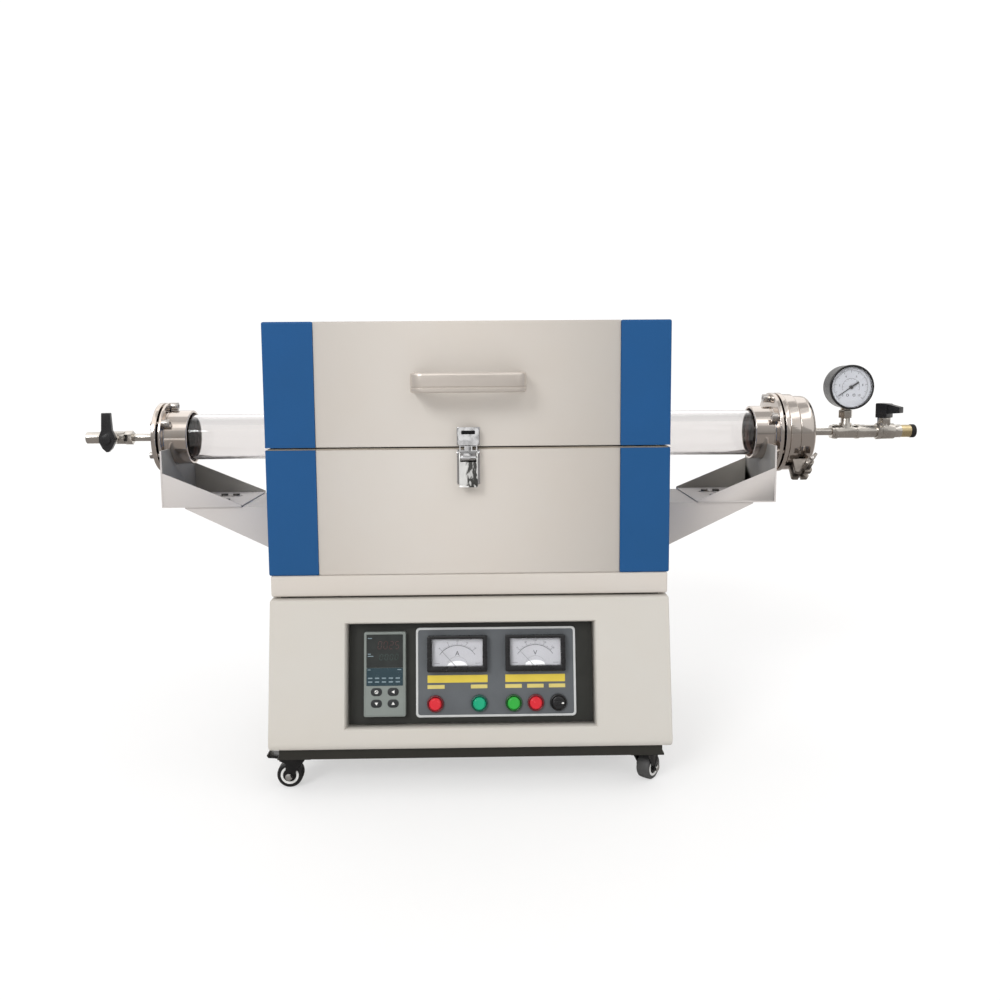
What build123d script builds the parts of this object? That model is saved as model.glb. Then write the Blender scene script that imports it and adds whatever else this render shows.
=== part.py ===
from build123d import *
import math
import os

# Split tube furnace: heated two-half body on a control cabinet with casters,
# a quartz tube through it, vacuum flanges, gas fittings and support brackets.
# Millimetres. X runs along the tube, -Y is the front, +Z is up, Z = 0 is the floor.

# ---------------- driving dimensions ----------------
W = 460.0            # furnace body width
DEPTH = 380.0        # furnace body depth
YF = -DEPTH / 2      # front face of the heated body
YR = DEPTH / 2       # rear face of the heated body
Z_FRAME = 40.5       # underside of the base frame
Z_CAB = 53.0         # underside of the cabinet
Z_CABTOP = 220.3
Z_SLAB0, Z_SLAB1 = 222.8, 247.7
Z_LOW1 = 392.0       # top of the lower half
Z_LID0, Z_LID1 = 395.0, 536.3
Z_AX = 393.5         # tube axis height
Y_CT, Y_CB = -195.8, -229.0   # cabinet front, top and bottom edge
CAB_W = 458.0
BLUE = 57.2          # width of the end covers on the front face
T = 1.6              # sheet thickness
TUBE_R, TUBE_RI = 30.0, 27.0
TUBE_X0, TUBE_X1 = -392.0, 396.0
R_CUT = 34.0         # tube hole in the end covers
R_COLLAR = 35.5
R_LDISC, R_RDISC = 46.0, 53.0
TRAY_Z = 310.0
TRAY_X0, TRAY_X1 = 292.0, 390.3
TRAY_Y = 66.0
SADDLE_X0, SADDLE_X1 = 390.4, 392.6
GAUGE_X, GAUGE_Z, GAUGE_R = 505.6, 453.5, 29.6
CASTER_X, CASTER_YF, CASTER_YR = 203.0, -194.0, 158.0
WHEEL_R, WHEEL_W = 15.0, 16.0
HINGE_Y, HINGE_Z = YR + 8.0, 393.5
LATCH_A = (-195.0, 388.0)     # lever pin, (Y, Z)
LATCH_B = (-198.2, 382.5)     # loop pin

parts = {}


def put(name, *shapes):
    parts.setdefault(name, []).extend(shapes)


def bx(x0, x1, y0, y1, z0, z1):
    return Pos((x0 + x1) / 2, (y0 + y1) / 2, (z0 + z1) / 2) * Box(x1 - x0, y1 - y0, z1 - z0)


def cx(r, x0, x1, y=0.0, z=Z_AX):
    return Pos((x0 + x1) / 2, y, z) * Rot(0, 90, 0) * Cylinder(r, x1 - x0)


def cy(r, y0, y1, x=0.0, z=0.0):
    return Pos(x, (y0 + y1) / 2, z) * Rot(90, 0, 0) * Cylinder(r, y1 - y0)


def cz(r, z0, z1, x=0.0, y=0.0):
    return Pos(x, y, (z0 + z1) / 2) * Cylinder(r, z1 - z0)


def prism_x(pts, x0, x1):
    """A polygon of (Y, Z) points pushed from x0 to x1."""
    f = Plane(origin=(x0, 0, 0), x_dir=(0, 1, 0), z_dir=(1, 0, 0)) * make_face(Polyline(*pts, close=True))
    return extrude(f, x1 - x0)


def prism_y(pts, y0, y1):
    """A polygon of (X, Z) points pushed from y0 to y1."""
    f = Plane(origin=(0, y1, 0), x_dir=(1, 0, 0), z_dir=(0, -1, 0)) * make_face(Polyline(*pts, close=True))
    return extrude(f, y1 - y0)


def prism_z(pts, z0, z1):
    f = Plane(origin=(0, 0, z0)) * make_face(Polyline(*pts, close=True))
    return extrude(f, z1 - z0)


def hexa(af, h):
    """Hexagonal prism along Z, centred."""
    return extrude(RegularPolygon(af / math.sqrt(3), 6), h / 2, both=True)


# ---------------- cabinet ----------------
prof = make_face(Polyline((Y_CT, Z_CABTOP), (Y_CB, Z_CAB), (YR, Z_CAB), (YR, Z_CABTOP), close=True))
v = prof.vertices().sort_by(Axis.X)
vt = [q for q in v if abs(q.X - Y_CT) < 0.01][0]
prof = fillet(vt, 3.0)
vb = [q for q in prof.vertices() if abs(q.X - Y_CB) < 0.01][0]
prof = fillet(vb, 9.0)
inner = offset(prof, -T)
YZ = Plane(origin=(-CAB_W / 2, 0, 0), x_dir=(0, 1, 0), z_dir=(1, 0, 0))
outer_s = extrude(YZ * prof, CAB_W)
inner_s = extrude(YZ * inner, CAB_W)
skin = outer_s - inner_s
front_keep = bx(-300, 300, -260, -184, 60, 230) + bx(-300, 300, -260, -212, 40, 60.5)
front_sheet = skin & front_keep

SL = math.hypot(Y_CB - Y_CT, Z_CABTOP - Z_CAB)
ny, nz = (Z_CABTOP - Z_CAB) / SL, (Y_CB - Y_CT) / SL      # inward normal of the sloped front
PF = Plane(origin=(0, Y_CT, Z_CABTOP), x_dir=(1, 0, 0), z_dir=(0, ny, nz))


def pb(u0, u1, s0, s1, d0, d1):
    """Box in the panel's frame: u along X, s down the slope, d inward."""
    return PF * (Pos((u0 + u1) / 2, (s0 + s1) / 2, (d0 + d1) / 2) * Box(u1 - u0, s1 - s0, d1 - d0))


def pc(r, u, s, d0, d1):
    return PF * (Pos(u, s, (d0 + d1) / 2) * Cylinder(r, d1 - d0))


def prr(u0, u1, s0, s1, d0, d1, r):
    f = Pos((u0 + u1) / 2, (s0 + s1) / 2, d0) * RectangleRounded(u1 - u0, s1 - s0, r)
    return PF * extrude(f, d1 - d0)


OP = (-143.5, 144.5, 25.5, 146.0)      # opening in the cabinet front
REC = 18.0                             # how far the plate sits behind it
ow, oh = OP[1] - OP[0], OP[3] - OP[2]
oc = Pos((OP[0] + OP[1]) / 2, (OP[2] + OP[3]) / 2, 0)
well_out = PF * (oc * extrude(Rectangle(ow + 2.4, oh + 2.4), REC, taper=5))
well_in = PF * (oc * extrude(Rectangle(ow, oh), REC, taper=5))
well_in2 = PF * (oc * Pos(0, 0, -3) * extrude(Rectangle(ow, oh), 3.01))
cabinet_front = (front_sheet - PF * (oc * extrude(Rectangle(ow, oh), 10, both=True))) + (well_out - well_in)
cabinet_front = cabinet_front - well_in2
put("cabinet_front", cabinet_front)

side_prof = extrude(Plane(origin=(-CAB_W / 2, 0, 0), x_dir=(0, 1, 0), z_dir=(1, 0, 0)) * inner, T)
side_prof = side_prof - bx(-300, 300, YR - T, YR + 5, 0, 300)
put("cabinet_panels", side_prof, Pos(CAB_W - T, 0, 0) * side_prof)
top_sheet = bx(-CAB_W / 2, CAB_W / 2, -184, YR - T, Z_CABTOP - T, Z_CABTOP)
base_sheet = bx(-CAB_W / 2, CAB_W / 2, -212, YR - T, Z_CAB, Z_CAB + T)
rear = bx(-CAB_W / 2, CAB_W / 2, YR - T, YR, Z_CAB, Z_CABTOP)
for row in range(6):
    for col in (-1, 1):
        zc = 95 + row * 14
        rear = rear - (Pos(col * 125, YR, zc) * Rot(90, 0, 0) * extrude(SlotOverall(120, 5), 6, both=True))
rear = rear - cy(11.0, YR - 10, YR + 10, -60, 78)
put("cabinet_panels", top_sheet, base_sheet, rear)

# base frame of square bar and the four caster plates with their king pins
FX, FY0, FY1 = 219.0, -217.0, 185.0
put("base_frame",
    bx(-FX, FX, FY0, FY0 + 12, Z_FRAME, Z_CAB), bx(-FX, FX, FY1 - 12, FY1, Z_FRAME, Z_CAB),
    bx(-FX, -FX + 12, FY0 + 12, FY1 - 12, Z_FRAME, Z_CAB), bx(FX - 12, FX, FY0 + 12, FY1 - 12, Z_FRAME, Z_CAB))

casters = [("front_left", -CASTER_X, CASTER_YF, 180.0), ("front_right", CASTER_X, CASTER_YF, 50.0),
           ("rear_left", -CASTER_X, CASTER_YR, 140.0), ("rear_right", CASTER_X, CASTER_YR, 35.0)]
TRAIL = 8.0
PED_P = (15.8, 35.2)
for nm, X, Y, ang in casters:
    L = Pos(X, Y, 0) * Rot(0, 0, ang)
    plate = bx(-19, 19, -19, 19, 38.3, Z_FRAME)
    pin = cz(3.0, 33.0, 38.4) + cz(4.6, 31.0, 33.1)
    put("base_frame", Pos(X, Y, 0) * (plate + pin))
    cheek = [(-10, 38.0), (16.5, 38.0), (18.8, 36.6), (18.8, 33.4), (11.4, 30.5), (12.3, 17.0), (11.4, 12.4), (8.0, 10.6), (4.6, 12.4), (3.7, 15.5), (-8.0, 31.0), (-10, 33.5)]
    fork = cz(12.5, 33.5, 38.0)
    fork = fork + bx(-10, 6, -11.2, 11.2, 33.5, 38.0)
    for sg in (-1, 1):
        y0, y1 = (9.0, 11.2) if sg > 0 else (-11.2, -9.0)
        fork = fork + prism_y(cheek, y0, y1)
    fork = fork - cz(3.05, 30, 40)
    fork = fork + cy(2.5, -13.6, 13.6, TRAIL, WHEEL_R) + cy(4.0, 11.2, 13.2, TRAIL, WHEEL_R) + cy(4.0, -13.2, -11.2, TRAIL, WHEEL_R)
    front = nm.startswith("front")
    if front:
        fork = fork + cy(1.2, -9.05, 9.05, *PED_P)
    put("fork_" + nm, L * fork)
    wheel = cy(WHEEL_R, -WHEEL_W / 2, WHEEL_W / 2, TRAIL, WHEEL_R)
    wheel = fillet(wheel.edges().filter_by(GeomType.CIRCLE), 2.2)
    wheel = wheel - cy(2.55, -20, 20, TRAIL, WHEEL_R)
    put("wheel_" + nm, L * wheel)
    if front:
        ped = cy(2.7, -8.5, 8.5, *PED_P) + prism_y([(15.8, 34.0), (15.8, 36.4), (24, 38.0), (30.5, 38.2), (32.5, 40.1), (34, 39.0), (32, 36.0), (25, 35.6)], -8.0, 8.0)
        ped = ped - cy(1.25, -20, 20, *PED_P)
        put("brake_pedal_" + nm.split("_")[1], L * ped)

# ---------------- control panel ----------------
BTN = [("stop_button_left", -40.8), ("run_button_left", 9.8), ("run_button_right", 49.4), ("stop_button_right", 74.9), ("key_switch", 100.9)]
S_BTN = 120.4
M1, M2 = (-49.8, 19.4), (40.2, 109.4)       # the two meters along X
MS = (42.9, 83.9)
plate = pb(-152, 153, 17, 154, REC, REC + 2.0)
mplate = prr(-63.1, 121.5, 33.9, 135.7, REC - 1.5, REC, 4.5)
for a, b in (M1, M2):
    m = (a + b) / 2
    plate = plate - pc(19.2, m, 66, 0, 40)
    mplate = mplate - pc(19.2, m, 66, 0, 40)
for nm, u in BTN:
    plate = plate - pc(8.05, u, S_BTN, 0, 40)
    mplate = mplate - pc(8.05, u, S_BTN, 0, 40)
plate = plate - pb(-122.5 + 1.6, -74.5 - 1.6, 39.8, 131.2, 0, 40)
put("panel_plate", plate)
put("meter_panel", mplate)

ctl = prr(-122.5, -74.5, 37.5, 133.5, 10.0, REC, 1.5)
ctl = ctl - pb(-119.4, -77.6, 40.4, 98.4, 9, 10.8)
for (u, s) in ((-107.9, 105.3), (-88.8, 105.3), (-107.9, 118.4), (-88.8, 118.4)):
    ctl = ctl + PF * (Pos(u, s, 9.4) * extrude(SlotOverall(11.6, 7.6), 1.0))
ctl = ctl + pb(-122.5 + 1.7, -74.5 - 1.7, 39.9, 131.1, REC - 0.5, 92.0)
put("temperature_controller", ctl)

for a, b in (M1, M2):
    m = (a + b) / 2
    case = prr(a, b, MS[0], MS[1], 8.0, REC - 1.5, 1.2)
    case = case - pb(m - 29.1, m + 29.1, 46.5, 77.3, 7, 14.6) - pb(m - 32.0, m + 32.0, 45.0, 82.2, 9.8, 14.6)
    case = case + pc(19.0, m, 66, REC - 1.6, 50)
    case = case - pc(1.05, m, 79.6, 14, 19.0)
    put("meter_cases", case)
    put("dial_windows", pb(m - 29.1, m + 29.1, 46.5, 77.3, 8.4, 9.8))
    ang = 43.0
    blade = PF * (Pos(m, 79.6, 11.8) * Rot(0, 0, -ang) * Pos(0, -14.0, 0) * Box(0.6, 24.0, 0.6))
    hub = pc(2.3, m, 79.6, 11.2, 13.6) + pc(1.0, m, 79.6, 13.5, 18.0)
    put("ammeter_needle" if a < 0 else "voltmeter_needle", hub + blade)

for nm, u in BTN:
    ring = pc(9.8, u, S_BTN, 13.4, REC - 1.5) - pc(7.65, u, S_BTN, 12, 20)
    ring = ring + (pc(8.0, u, S_BTN, REC - 1.6, 42) - pc(7.65, u, S_BTN, 10, 40))
    put("button_bezels", ring)
    if nm != "key_switch":
        cap = pc(7.3, u, S_BTN, 10.6, 26)
        cap = fillet(cap.edges().filter_by(GeomType.CIRCLE).sort_by(Axis.Y)[0], 1.0)
    else:
        cap = pc(7.3, u, S_BTN, 11.4, 38)
        cap = cap + PF * (Pos(u, S_BTN, 9.9) * extrude(SlotOverall(13.0, 5.0), 2.0))
    put(nm, cap)

# ---------------- chassis slab ----------------
SX = 228.5
slab = [bx(-SX, SX, YF, YR, Z_SLAB1 - T, Z_SLAB1), bx(-SX, SX, YF, YF + T, Z_SLAB0, Z_SLAB1 - T), bx(-SX, SX, YR - T, YR, Z_SLAB0, Z_SLAB1 - T),
        bx(-SX, -SX + T, YF + T, YR - T, Z_SLAB0, Z_SLAB1 - T), bx(SX - T, SX, YF + T, YR - T, Z_SLAB0, Z_SLAB1 - T)]
foot = [bx(-219, 219, YF + 8, YF + 14, Z_CABTOP, Z_SLAB1 - T), bx(-219, 219, YR - 14, YR - 8, Z_CABTOP, Z_SLAB1 - T),
        bx(-219, -213, YF + 14, YR - 14, Z_CABTOP, Z_SLAB1 - T), bx(213, 219, YF + 14, YR - 14, Z_CABTOP, Z_SLAB1 - T)]
put("chassis_slab", *slab, *foot)

# ---------------- the two halves of the body ----------------
XB = W / 2 - BLUE


def half(z0, z1, lid):
    """Sheets, end covers, fibre block and heater of one half."""
    s = -1 if lid else 1
    deck0, deck1 = (z1 - T, z1) if lid else (z0, z0 + T)
    yi = YF + T
    sheets = [bx(-XB + 0.15, XB - 0.15, YF, yi, z0, z1), bx(-XB + 0.15, XB - 0.15, YR - T, YR, z0, z1), bx(-XB + 0.15, XB - 0.15, yi, YR - T, deck0, deck1)]
    covers = []
    for sg in (-1, 1):
        x0, x1 = (XB, W / 2) if sg > 0 else (-W / 2, -XB)
        c = bx(x0, x1, YF - 0.6, YR + 0.6, z0, z1)
        xi0, xi1 = (XB - 5, W / 2 - T) if sg > 0 else (-W / 2 + T, -XB + 5)
        if lid:
            c = c - bx(xi0, xi1, YF + T - 0.6, YR - T + 0.6, z0 - 5, z1 - T)
        else:
            c = c - bx(xi0, xi1, YF + T - 0.6, YR - T + 0.6, z0 + T, z1 + 5)
        c = c - cx(R_CUT, -400, 400)
        covers.append(c)
    zi0, zi1 = (z0 + 0.6, z1 - T) if lid else (z0 + T, z1 - 0.6)
    fib = bx(-W / 2 + T, W / 2 - T, yi, YR - T, zi0, zi1)
    fib = fib - cx(33.0, -400, 400) - cx(48.0, -150, 150)
    ht = cx(48.0, -150, 150) - cx(38.5, -160, 160)
    keep = bx(-160, 160, -60, 60, Z_AX + 2.1, Z_AX + 60) if lid else bx(-160, 160, -60, 60, Z_AX - 60, Z_AX - 2.1)
    ht = ht & keep
    return sheets, covers, fib, ht


sh, cv, fb, ht = half(Z_SLAB1, Z_LOW1, False)
put("lower_shell", *sh)
put("lower_end_covers", *cv)
fb = fb - cy(2.2, 30, 250, 0, 378.0)
put("lower_insulation", fb)
ht = ht - cy(2.2, 0, 250, 0, 378.0)
put("lower_heater", ht)
put("thermocouple", cy(2.1, 34.5, YR - T, 0, 378.0) - cx(34.4, -50, 50))
sh, cv, fb, ht = half(Z_LID0, Z_LID1, True)
put("lid_shell", *sh)
put("lid_end_covers", *cv)
put("lid_insulation", fb)
put("lid_heater", ht)

# pull handle on the lid
hd = bx(-64, 64, YF - 38, YF, 457, 479) - bx(-53.5, 53.5, YF - 30.5, YF + 1, 450, 486)
ev = hd.edges().filter_by(Axis.Z)
ou = [e for e in ev if e.center().Y < YF - 37]
hd = fillet(ou, 9.0)
ev = [e for e in hd.edges().filter_by(Axis.Z) if abs(e.center().Y - (YF - 30.5)) < 0.1]
hd = fillet(ev, 6.0)
hd = Pos(1.0, 0, 0) * hd
put("lid_handle", hd)

# rear hinges: three-knuckle butt hinges, pin fixed in the lower leaf
for X in (-140.0, 140.0):
    low = bx(X - 22, X + 22, YR + (0.0), YR + 1.8, 358, 389.5)
    for a, b in ((X - 22, X - 8), (X + 8, X + 22)):
        low = low + cx(4.2, a, b, HINGE_Y, HINGE_Z) + bx(a, b, YR, HINGE_Y, 388.2, 390.4)
        low = low - bx(a - 1, b + 1, HINGE_Y - 30, YR, 380, 400)
    low = low + cx(1.9, X - 22, X + 22, HINGE_Y, HINGE_Z)
    put("lower_hinges", low)
    up = cx(4.2, X - 7.8, X + 7.8, HINGE_Y, HINGE_Z) + bx(X - 7.8, X + 7.8, YR + 0.6, HINGE_Y, 396.6, 397.6)
    up = up + bx(X - 22, X + 22, YR, YR + 1.8, 398.2, 428) + bx(X - 7.8, X + 7.8, YR, YR + 1.8, 396.6, 400)
    up = up - cx(1.95, X - 30, X + 30, HINGE_Y, HINGE_Z)
    put("lid_hinges", up)

# front toggle latch
AY, AZ_ = LATCH_A
BY, BZ = LATCH_B
base = bx(-13, 13, YF - 1.6, YF, 352, 391.5)
for sg in (-1, 1):
    a, b = (10.8, 13.0) if sg > 0 else (-13.0, -10.8)
    base = base + bx(a, b, AY, YF - 1.5, 383.5, 391.5) + cx(3.0, a, b, AY, AZ_)
base = base + cx(1.5, -13, 13, AY, AZ_)
put("latch_base", base)
lever = bx(-10.4, 10.4, -202.6, -201.2, 351.5, 378.6) + bx(-10.4, 10.4, -205.0, -201.2, 350.2, 351.9)
for sg in (-1, 1):
    a, b = (9.2, 10.4) if sg > 0 else (-10.4, -9.2)
    lever = lever + prism_x([(-202.6, 352), (-202.6, 378.6), (-198.4, 389.2), (AY - 1, AZ_ + 3.0), (AY + 2.4, AZ_ + 1.5), (AY + 2.6, AZ_ - 1.5), (-195.5, 377), (-197.5, 352)], a, b)
lever = lever + cx(1.2, -10.4, 10.4, BY, BZ)
lever = lever - cx(1.55, -30, 30, AY, AZ_)
put("latch_lever", lever)
loop = bx(-8.6, 8.6, -199.0, -197.4, 383.5, 416.0)
loop = loop - bx(-7.4, 7.4, -205, -190, 409.5, 414.2)
for a in (-7.6, 2.6):
    loop = loop - bx(a, a + 5.0, -205, -190, 387.0, 395.5)
loop = loop + cx(2.6, -8.6, 8.6, BY, BZ)
loop = loop - cx(1.25, -30, 30, BY, BZ)
put("latch_loop", loop)
keep = bx(-13, 13, YF - 1.5, YF, 396.6, 417.0) + bx(-5, 5, YF - 6.6, YF - 1.4, 399.5, 401.0) + bx(-5, 5, YF - 6.6, YF - 5.2, 399.5, 407.5)
put("latch_keeper", keep)

# ---------------- tube and what is inside it ----------------
put("quartz_tube", cx(TUBE_R, TUBE_X0, TUBE_X1) - cx(TUBE_RI, TUBE_X0 - 5, TUBE_X1 + 5))
put("fibre_plugs", cx(26.9, -215, -175), cx(26.9, 175, 215))

# ---------------- flanges ----------------
lf = cx(R_COLLAR, -398.0, -368.4)
lf = fillet(lf.edges().filter_by(GeomType.CIRCLE).sort_by(Axis.X)[-1], 1.0)
lf = lf + cx(R_LDISC, -401.4, -397.9)
lf = lf - cx(TUBE_R, -398.5, -360) - cx(TUBE_RI, -420, -390)
rf = cx(R_COLLAR, 375.0, 401.5)
rf = fillet(rf.edges().filter_by(GeomType.CIRCLE).sort_by(Axis.X)[0], 1.0)
rf = rf + cx(R_RDISC, 401.4, 406.4)
rf = rf - cx(TUBE_R, 360, 402) - cx(TUBE_RI, 390, 420)
port = cx(R_RDISC, 409.0, 414.6) + cx(41.0, 414.5, 420.2) + cx(45.0, 420.1, 422.0)
port = port - cx(24.0, 400, 430)
put("tube_flanges", lf, rf, port)
put("seals", cx(37.0, -404.4, -401.4) - cx(31.0, -410, -400), cx(41.5, 406.4, 409.0) - cx(31.0, 400, 415),
    cx(33.0, 422.0, 424.4) - cx(26.0, 420, 430))
lc = cx(R_LDISC, -410.6, -404.4)
lc = fillet(lc.edges().filter_by(GeomType.CIRCLE).sort_by(Axis.X)[0], 1.2)
rc = cx(45.0, 424.4, 426.3) + cx(41.0, 426.2, 430.0) + cx(48.5, 429.9, 451.5)
rc = fillet(rc.edges().filter_by(GeomType.CIRCLE).sort_by(Axis.X)[-1], 9.0)
lc = lc - cx(3.0, -420, -400)
rc = rc - cx(3.0, 420, 460)
# six screws hold the left pair, three entered from each side; likewise on the right
scr = []
for i in range(6):
    a = math.radians(90 + 60 * i)
    y, z = 41.0 * math.cos(a), Z_AX + 41.0 * math.sin(a)
    up = math.sin(a) > 0
    lf_hole = cx(2.6, -415, -395, y, z)
    parts["tube_flanges"][0] = parts["tube_flanges"][0] - lf_hole
    lc = lc - lf_hole
    if up:
        s = cx(2.5, -413.0, -397.9, y, z) + cx(5.2, -397.9, -388.0, y, z)
        s = s - (Pos(-389.5, y, z) * Rot(0, 90, 0) * hexa(4.6, 6))
    else:
        s = cx(2.5, -410.7, -397.9, y, z) + cx(4.4, -415.0, -410.6, y, z)
    scr.append(s)
    y, z = 45.5 * math.cos(a), Z_AX + 45.5 * math.sin(a)
    hole = cx(2.6, 395, 420, y, z)
    parts["tube_flanges"][1] = parts["tube_flanges"][1] - hole
    parts["tube_flanges"][2] = parts["tube_flanges"][2] - hole
    if up:
        s = cx(2.5, 401.3, 414.6, y, z) + cx(5.6, 392.8, 401.4, y, z)
        s = s - (Pos(393.8, y, z) * Rot(0, 90, 0) * hexa(4.6, 6))
    else:
        s = cx(2.5, 401.5, 414.6, y, z)
        s = s + cx(3.6, 396.5, 401.4, y, z)
    scr.append(s)
put("end_caps", lc, rc)
put("screws", *scr)

# clamp of two half rings over the right end joint, hinged at the back, bolt at the lower front
CL_A = math.radians(232.0)                       # direction of the lugs from the axis, in Y-Z
cl = cx(51.0, 415.4, 429.2) - cx(41.4, 410, 435) - cx(45.4, 419.6, 426.7)
cl = fillet(cl.edges().filter_by(GeomType.CIRCLE).filter_by(lambda e: e.radius > 50.5), 1.5)
dy, dz = math.cos(CL_A), math.sin(CL_A)
cut = Pos(422, dy * 55, Z_AX + dz * 55) * Rot(math.degrees(CL_A), 0, 0) * Box(20, 60, 9.0)
cut2 = Pos(422, -dy * 55, Z_AX - dz * 55) * Rot(math.degrees(CL_A), 0, 0) * Box(20, 60, 0.6)
cl = cl - cut - cut2
halves = sorted(cl.solids(), key=lambda s: s.center().Y)
# lugs each side of the gap
LF = Pos(422, 0, Z_AX) * Rot(math.degrees(CL_A), 0, 0)     # local +Y points to the lugs, local +Z is tangential
LUG_X, LUG_R = 18.0, 59.5                                  # bolt hole in the lugs
lug = []
for sg in (-1, 1):
    z0, z1 = (4.5, 10.5) if sg > 0 else (-10.5, -4.5)
    b = bx(0.5, 22.5, 49.2, 69.0, z0, z1)
    b = fillet([e for e in b.edges().filter_by(Axis.Z) if e.center().Y > 68], 3.0)
    b = b - bx(9.2, 12.6, 64.0, 72.0, z0 - 1, z1 + 1) - cz(2.56, z0 - 1, z1 + 1, LUG_X, LUG_R)
    lug.append((sg, LF * b))
mates = []
for hf in halves:
    best = None
    for sg, b in lug:
        t = hf + b
        if len(t.solids()) == 1:
            best = t
    mates.append(best if best is not None else hf)
put("clamp_halves", *mates)
# swing bolt through the lugs and its wing nut
bolt = cz(2.5, -13.5, 31.0) + cz(4.4, -17.0, -10.6)
LB = LF * Pos(LUG_X, LUG_R, 0) * Rot(180, 0, 0)
put("screws", LB * bolt)
nut = cz(5.2, 10.6, 21.0)
wing = bx(-12.0, 12.0, -1.7, 1.7, 15.0, 29.0) - bx(-3.8, 3.8, -3, 3, 20.9, 32)
wing = fillet([e for e in wing.edges().filter_by(Axis.Y) if abs(e.center().X) > 11.5 and e.center().Z > 25], 3.4)
wing = Rot(0, 0, 45) * wing
nut = (nut + wing) - cz(2.55, 5, 30)
put("wing_nut", LB * nut)

# ---------------- gas fittings ----------------
lp = cx(5.0, -449.6, -410.6) - cx(3.0, -460, -400)
put("gas_pipework", lp)
hexn = Pos(-454.5, 0, Z_AX) * Rot(0, 90, 0) * hexa(16.0, 9.8)
vb_l = hexn + cx(7.4, -459.7, -457.0) + cx(8.6, -484.0, -459.6) + cy(6.8, -11.0, 0, -472.6, Z_AX)
vb_l = vb_l + (Pos(-472.6, -12.8, Z_AX) * Rot(90, 0, 0) * hexa(15.0, 8.0))
vb_l = vb_l - cx(3.0, -500, -440)
stem_l = cy(2.4, -28.9, -16.7, -472.6, Z_AX)
put("gas_pipework", vb_l + stem_l)
tee = cx(5.0, 451.5, 486.0) + cx(9.0, 485.9, 531.5) + cx(8.6, 531.4, 546.9) + cz(8.0, Z_AX, 405.0, GAUGE_X, 0)
tee = tee + cz(6.0, 404.9, 412.0, GAUGE_X, 0)
tee = tee + cx(9.9, 489.5, 494.0) + cx(9.9, 519.0, 523.5)
tee = tee - cx(3.0, 440, 560) - cz(3.0, Z_AX, 420, GAUGE_X, 0)
put("gas_pipework", tee)
vb_r = (Pos(550.4, 0, Z_AX) * Rot(0, 90, 0) * hexa(19.0, 7.0)) + cx(10.5, 553.8, 570.4) + cz(8.0, Z_AX, 405.0, 558.2, 0) + (Pos(558.2, 0, 407.9) * hexa(16.0, 7.2))
vb_r = vb_r - cx(3.0, 540, 580)
stem_r = cz(2.4, 410.2, 422.4, 558.2, 0)
put("gas_pipework", vb_r + stem_r)
lfit = cx(7.8, -510.5, -484.0) + cx(8.6, -490.5, -486.0)
lfit = fillet(lfit.edges().filter_by(GeomType.CIRCLE).sort_by(Axis.X)[0], 1.0)
lfit = lfit - cx(3.0, -520, -480)
rfit = cx(8.8, 570.4, 580.0) + cx(8.4, 579.9, 593.4)
rfit = rfit - cx(3.0, 565, 594.4)
put("hose_fittings", lfit, rfit)
cap = cx(9.0, 593.4, 600.2)
cap = fillet(cap.edges().filter_by(GeomType.CIRCLE).sort_by(Axis.X)[-1], 2.0)
put("seals", cap)

# left valve lever: hub on the stem, long arm and short tail
def lever_shape():
    """Lever in X-Z, arm along +Z, thickness along Y from 0 to 5, hub bore along Y."""
    pts = [(-5.6, 34.5), (5.6, 34.5), (6.8, 12.0), (10.2, 4.0), (10.4, -3.0), (6.0, -12.0), (1.2, -16.6), (-1.2, -16.6), (-6.0, -12.0), (-10.4, -3.0), (-10.2, 4.0), (-6.8, 12.0)]
    s = prism_y(pts, -7.0, 0.0)
    s = fillet(s.faces().sort_by(Axis.Y)[0].edges(), 1.2)
    return s + cy(6.0, -9.6, -6.9)


lv = lever_shape() + cy(6.8, -0.1, 7.0)
lv = lv - cy(2.45, -4.6, 10)
put("left_valve_lever", Pos(-472.6, -24.5, Z_AX) * lv)
# the right lever lies flat: a square hub on the upright stem with one arm, 54 degrees towards the front
rv = bx(-8.0, 8.0, -8.0, 8.0, 411.7, 431.3)
rv = fillet(rv.faces().sort_by(Axis.Z)[-1].edges(), 2.0)
rv = rv + bx(6.0, 24.0, -5.0, 5.0, 418.0, 427.0)
rv = fillet([e for e in rv.edges().filter_by(Axis.Z) if e.center().X > 23], 3.0)
rv = rv - cz(2.45, 400, 423.0)
put("right_valve_lever", Pos(558.2, 0, 0) * Rot(0, 0, -54) * rv)

# pressure gauge
gc = cy(28.5, -14.5, 10.5, GAUGE_X, GAUGE_Z)
gc = fillet(gc.edges().filter_by(GeomType.CIRCLE).sort_by(Axis.Y)[-1], 3.0)
gc = gc + (cy(GAUGE_R, -20.0, -14.4, GAUGE_X, GAUGE_Z) - cy(26.7, -25, -14.5, GAUGE_X, GAUGE_Z))
gc = gc + cz(6.5, 422.4, 430.0, GAUGE_X, 0) + (Pos(GAUGE_X, 0, 417.25) * hexa(16.0, 10.5))
gc = gc - cy(1.05, -20, -11.0, GAUGE_X, GAUGE_Z)
put("gauge_case", gc)
put("dial_windows", cy(26.7, -19.2, -18.0, GAUGE_X, GAUGE_Z))
ga = math.radians(214.0)
gn = cy(2.4, -17.3, -15.0, GAUGE_X, GAUGE_Z) + cy(1.0, -15.1, -12.0, GAUGE_X, GAUGE_Z)
blade = Pos(GAUGE_X, -16.3, GAUGE_Z) * Rot(0, -math.degrees(ga), 0) * (bx(0, 20.5, -0.3, 0.3, -0.5, 0.5) + bx(-12.0, 0, -0.3, 0.3, -1.1, 1.1))
put("gauge_needle", gn + blade)

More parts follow.
